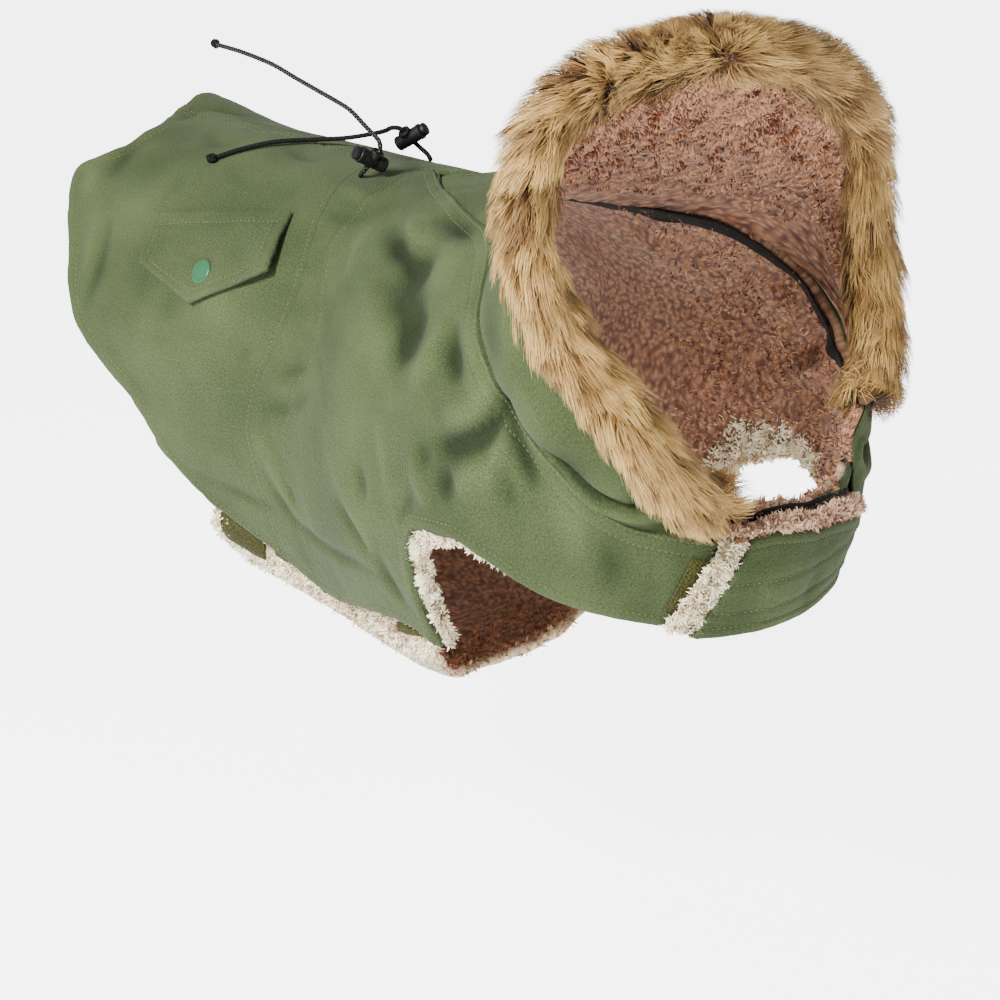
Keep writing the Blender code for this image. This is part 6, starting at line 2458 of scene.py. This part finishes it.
def rolled_tube(points: Array, across: Array, name: str, material: Material,
                flat: Array, capped: bool = True) -> Object:
    """A closed tube: a grid rolled up round a line.

    Args:
        points: The line's points.
        across: For each point, its ring's offsets, shaped (points, ring, 3).
        name: The piece's name.
        material: Its finish.
        flat: The corners' places on the flattened piece, shaped (points, ring + 1, 2).
        capped: Whether its ends are filled.

    Returns:
        The piece.
    """
    ring = across.shape[1]
    mesh, i, j = grid_mesh(name, len(points) - 1, ring)
    set_points(mesh, points[i] + across[i, j % ring])
    lay_uv(mesh, flat[i, j])
    bm = bmesh.new()
    bm.from_mesh(mesh)
    bmesh.ops.remove_doubles(bm, verts=bm.verts[:], dist=0.002 * MM)
    if capped:
        bmesh.ops.holes_fill(bm, edges=[edge for edge in bm.edges if edge.is_boundary], sides=0)
    bm.to_mesh(mesh)
    bm.free()
    return finished(mesh, name, material)


def ringed(wide: Array, turn: Array, one: Array, other: Array) -> Array:
    """A ring of offsets for each point of a line, from two directions square to it there."""
    return wide[..., None] * (np.cos(turn)[None, :, None] * one[:, None] + np.sin(turn)[None, :, None] * other[:, None])


def frames(points: Array, start: Array) -> tuple[Array, Array, Array]:
    """Steady directions along a line.

    Args:
        points: The line's points.
        start: Roughly the first sideways direction.

    Returns:
        The tangents, and two directions square to them, without twist.
    """
    tangent = np.gradient(points, axis=0)
    tangent /= np.linalg.norm(tangent, axis=1, keepdims=True)
    sideways = np.empty_like(points)
    last = start
    for i, way in enumerate(tangent):
        last = last - way * (last @ way)
        last = last / np.linalg.norm(last)
        sideways[i] = last
    return tangent, sideways, np.cross(tangent, sideways)


def braided_cord(name: str, points: Array, radius: float, material: Material) -> Object:
    """A cord with a braided surface along a line of points."""
    fine = along_path(points, 190)
    _, one, other = frames(fine, np.array([0.0, 0.3, 1.0]))
    ring = 12
    turn = np.linspace(0, 2 * math.pi, ring, endpoint=False)
    gone = gone_along(fine)
    braid = np.sin(gone[:, None] * 2.2 + 2 * turn) * np.sin(gone[:, None] * 2.2 - 2 * turn)
    offsets = ringed(radius * (1 + 0.07 * braid), turn, one, other)
    round_it = np.linspace(0, 2 * math.pi * radius, ring + 1)
    flat = np.stack(np.broadcast_arrays(gone[:, None], round_it[None, :]), axis=-1)
    return rolled_tube(fine, offsets, name, material, flat)


@dataclass
class DrawcordEnd:
    """One end of the drawcord: its cord, its lock with the spring button, and its knot."""

    label: str
    route: tuple[tuple[float, float, float], ...]
    lock: tuple[tuple[float, float, float], tuple[float, float, float]]
    finishes: Finishes
    cord_material: Material
    radius: float = 1.3
    barrel: tuple[float, float] = (4.1, 16.5)
    plunger: tuple[float, float] = (3.6, 2.6)
    collar: tuple[float, float] = (3.2, 6.6)
    knot: float = 2.7

    def make_cord(self) -> tuple[Object, Array]:
        """The cord itself, and the points that it follows."""
        points = along_path(np.array(self.route, float), 44)
        return braided_cord(f"cord_{self.label}", points, self.radius, self.cord_material), points

    def make_lock(self) -> list[Object]:
        """The lock's ribbed barrel, its spring button and its collar."""
        fine = along_path(np.array(self.route, float), 400)
        gone = gone_along(fine)
        at = gone[int(np.argmin(np.linalg.norm(fine - np.array(self.lock[0]), axis=1)))]
        before, centre, after = (Vector(read_at(at + shift, gone, fine)) for shift in (-4.0, 0.0, 4.0))
        through = (after - before).normalized()
        axis = Vector(self.lock[1])
        axis = (axis - through * axis.dot(through)).normalized()
        radius, length = self.barrel
        half = length / 2
        outline = [(0.0, -half), (radius - 1.3, -half), (radius - 0.5, -half + 0.3), (radius - 0.1, -half + 0.9)]
        for rib in range(4):
            foot = -half + 1.6 + rib * 1.0
            outline += [(radius, foot), (radius, foot + 0.45), (radius - 0.3, foot + 0.6), (radius - 0.3, foot + 0.85)]
        outline += [
            (radius, -half + 5.9), (radius, half - 2.2), (radius + 0.25, half - 1.9), (radius + 0.25, half - 0.5),
            (radius - 0.1, half - 0.1), (radius - 0.6, half), (2.3, half), (2.2, half - 0.5), (0.0, half - 0.5),
        ]
        plastic = self.finishes.plastic
        barrel = turned_piece(f"lock_barrel_{self.label}", outline, 40, axis, centre, plastic)
        radius, length = self.plunger
        top = half + 0.3
        button = [
            (0.0, half - 1.6), (2.0, half - 1.6), (2.0, top), (radius - 0.2, top), (radius, top + 0.25),
            (radius, top + length - 0.9), (radius - 0.25, top + length - 0.35), (radius - 0.9, top + length),
            (1.2, top + length + 0.15), (0.0, top + length + 0.2),
        ]
        plunger = turned_piece(f"lock_button_{self.label}", button, 36, axis, centre, plastic)
        wide, tall = self.collar
        profile = [
            (wide, -tall / 2), (wide + 0.35, -tall / 2 + 0.5), (wide + 0.1, 0.0), (wide + 0.35, tall / 2 - 0.6),
            (wide - 0.1, tall / 2), (1.9, tall / 2), (1.6, tall / 2 - 0.5), (1.6, -tall / 2 + 0.5), (1.9, -tall / 2),
        ]
        middle = centre + through * tall * 0.42
        collar = turned_piece(f"lock_collar_{self.label}", profile, 32, through, middle, plastic)
        return [barrel, plunger, collar]

    def make_knot(self, points: Array) -> Object:
        """The overhand knot at the cord's end, with its short cut tail."""
        tail = points[-1] - points[-2]
        tail /= np.linalg.norm(tail)
        centre = points[-1] + tail * (self.knot * 0.75 + 0.2)
        nearby = np.stack([centre - tail, centre, centre + tail])
        one, other = (ways[1] for ways in frames(nearby, np.array([0.1, 0.4, 1.0]))[1:])
        t = np.linspace(-0.15, 1.08, 60)[:, None] * 2 * math.pi
        loop = (centre + one * (1.45 * np.cos(t) + 0.25 * np.cos(2 * t)) + other * 1.45 * np.sin(t)
                + tail * (1.5 * np.sin(t * 1.5 - 0.4)))
        end = loop[-1] + tail * np.linspace(0.4, 3.4, 9)[:, None] * 0.9
        route = np.vstack([points[-1] - tail * 0.4, loop, end])
        return braided_cord(f"knot_{self.label}", route, self.radius * 0.98, self.finishes.plain_cord)

    def build(self) -> None:
        cord, points = self.make_cord()
        locks = self.make_lock()
        knot = self.make_knot(points)
        keep(cord, "black_cord", f"drawcord_{self.label}")
        keep(locks[0], "black_plastic", f"cord_lock_{self.label}")
        keep(locks[1], "black_plastic", f"lock_plunger_{self.label}")
        keep(locks[2], "black_plastic")
        keep(knot, "black_cord", f"cord_knot_{self.label}")


@dataclass
class Studio:
    """The camera, the pale floor and the soft lights."""

    target: Vector = field(default_factory=lambda: Vector((0.060, 0.0, -0.1635)))
    azimuth: float = 46.0
    elevation: float = 15.0
    distance: float = 1.6
    lens: float = 109.44
    floor_z: float = -0.389

    def directions(self) -> tuple[Vector, Vector, Vector]:
        """The camera's right, up and backward directions."""
        a, e = math.radians(self.azimuth), math.radians(self.elevation)
        right = Vector((math.cos(a), math.sin(a), 0.0))
        back = Vector((math.sin(a) * math.cos(e), -math.cos(a) * math.cos(e), math.sin(e)))
        return right, back.cross(right), back

    def camera(self) -> None:
        """Sets up the camera."""
        right, up, back = self.directions()
        data = bpy.data.cameras.new("camera")
        data.lens, data.sensor_width, data.clip_end = self.lens, 36.0, 20.0
        camera = put_in("camera", data)
        turned = Matrix((right, up, back)).transposed().to_4x4()
        camera.matrix_world = Matrix.Translation(self.target + back * self.distance) @ turned
        bpy.context.scene.camera = camera

    def light(self, name: str, way: Vector, size: float, power: float, colour: Colour = (1, 1, 1)) -> None:
        """A soft square light.

        Args:
            name: Its name.
            way: Where it stands from the target, in metres.
            size: Its side.
            power: Its watts.
            colour: Its colour.
        """
        data = bpy.data.lights.new(name, "AREA")
        data.shape, data.size, data.energy, data.color = "SQUARE", size, power, colour
        turned = way.to_track_quat("Z", "Y").to_matrix().to_4x4()
        put_in(name, data).matrix_world = Matrix.Translation(self.target + way) @ turned

    def floor(self) -> None:
        """The plain pale floor."""
        bm = bmesh.new()
        bmesh.ops.create_grid(bm, x_segments=1, y_segments=1, size=6.0)
        bmesh.ops.translate(bm, verts=bm.verts[:], vec=(0, 0, self.floor_z))
        mesh = bpy.data.meshes.new("floor")
        bm.to_mesh(mesh)
        bm.free()
        material, tree, shader = started("floor")
        set_inputs(shader, Base_Color=(0.86, 0.86, 0.86, 1), Roughness=0.9, Emission_Color=(1, 1, 1, 1))
        glow = tree.maths("MULTIPLY_ADD", tree.node("LightPath").outputs["Is Camera Ray"], 3.4, 1.35)
        tree.join(glow, shader.inputs["Emission Strength"])
        mesh.materials.append(material)
        put_in("floor", mesh)

    def build(self) -> None:
        """Makes the whole studio."""
        right, up, back = self.directions()
        self.camera()
        self.floor()
        world = bpy.data.worlds.new("studio")
        bpy.context.scene.world = world
        world.use_nodes = True
        set_inputs(world.node_tree.nodes["Background"], Color=(1.0, 1.0, 1.0, 1), Strength=0.45)
        self.light("key", back * 1.5 - right * 1.0 + up * 0.75, 0.45, 84)
        self.light("fill", back * 1.5 + right * 1.6 + up * 0.2, 1.4, 7)
        self.light("top", Vector((-0.3, 0.2, 2.0)), 1.2, 5)


def main() -> None:
    """Builds the coat in order."""
    logging.basicConfig(level=logging.INFO, format="%(message)s")
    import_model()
    Studio().build()
    finishes = Finishes.made()
    DrawcordEnd("near", NEAR_CORD, NEAR_LOCK, finishes, finishes.cord).build()
    DrawcordEnd("far", FAR_CORD, FAR_LOCK, finishes, finishes.plain_cord).build()
    body = Body()
    shell = Shell(body, finishes.canvas)
    shell.build()
    lining = Lining(body, shell, finishes.sherpa)
    sherpas = lining.build()
    hood = Hood(body, finishes.canvas, finishes.sherpa, finishes.tape)
    hoods = hood.build()
    FurTrim(hood, finishes.fur).build()
    pocket = Pocket(body, finishes.canvas, finishes.stud)
    pocket.build()
    Closures(body, lining, finishes.loop).build()
    Stitching(body, finishes.thread).build(pocket)
    fuzz = Fuzz(body, finishes.cream_fibre, finishes.warm_fibre, finishes.rosy_fibre)
    ChestEdge(body, finishes.sherpa, fuzz).build()
    for side in Side:
        fuzz.on_lining(sherpas[side], side)
        fuzz.in_hood(hoods[side], side)
    fuzz.on_belly(sherpas[None])


if __name__ == "__main__":
    main()
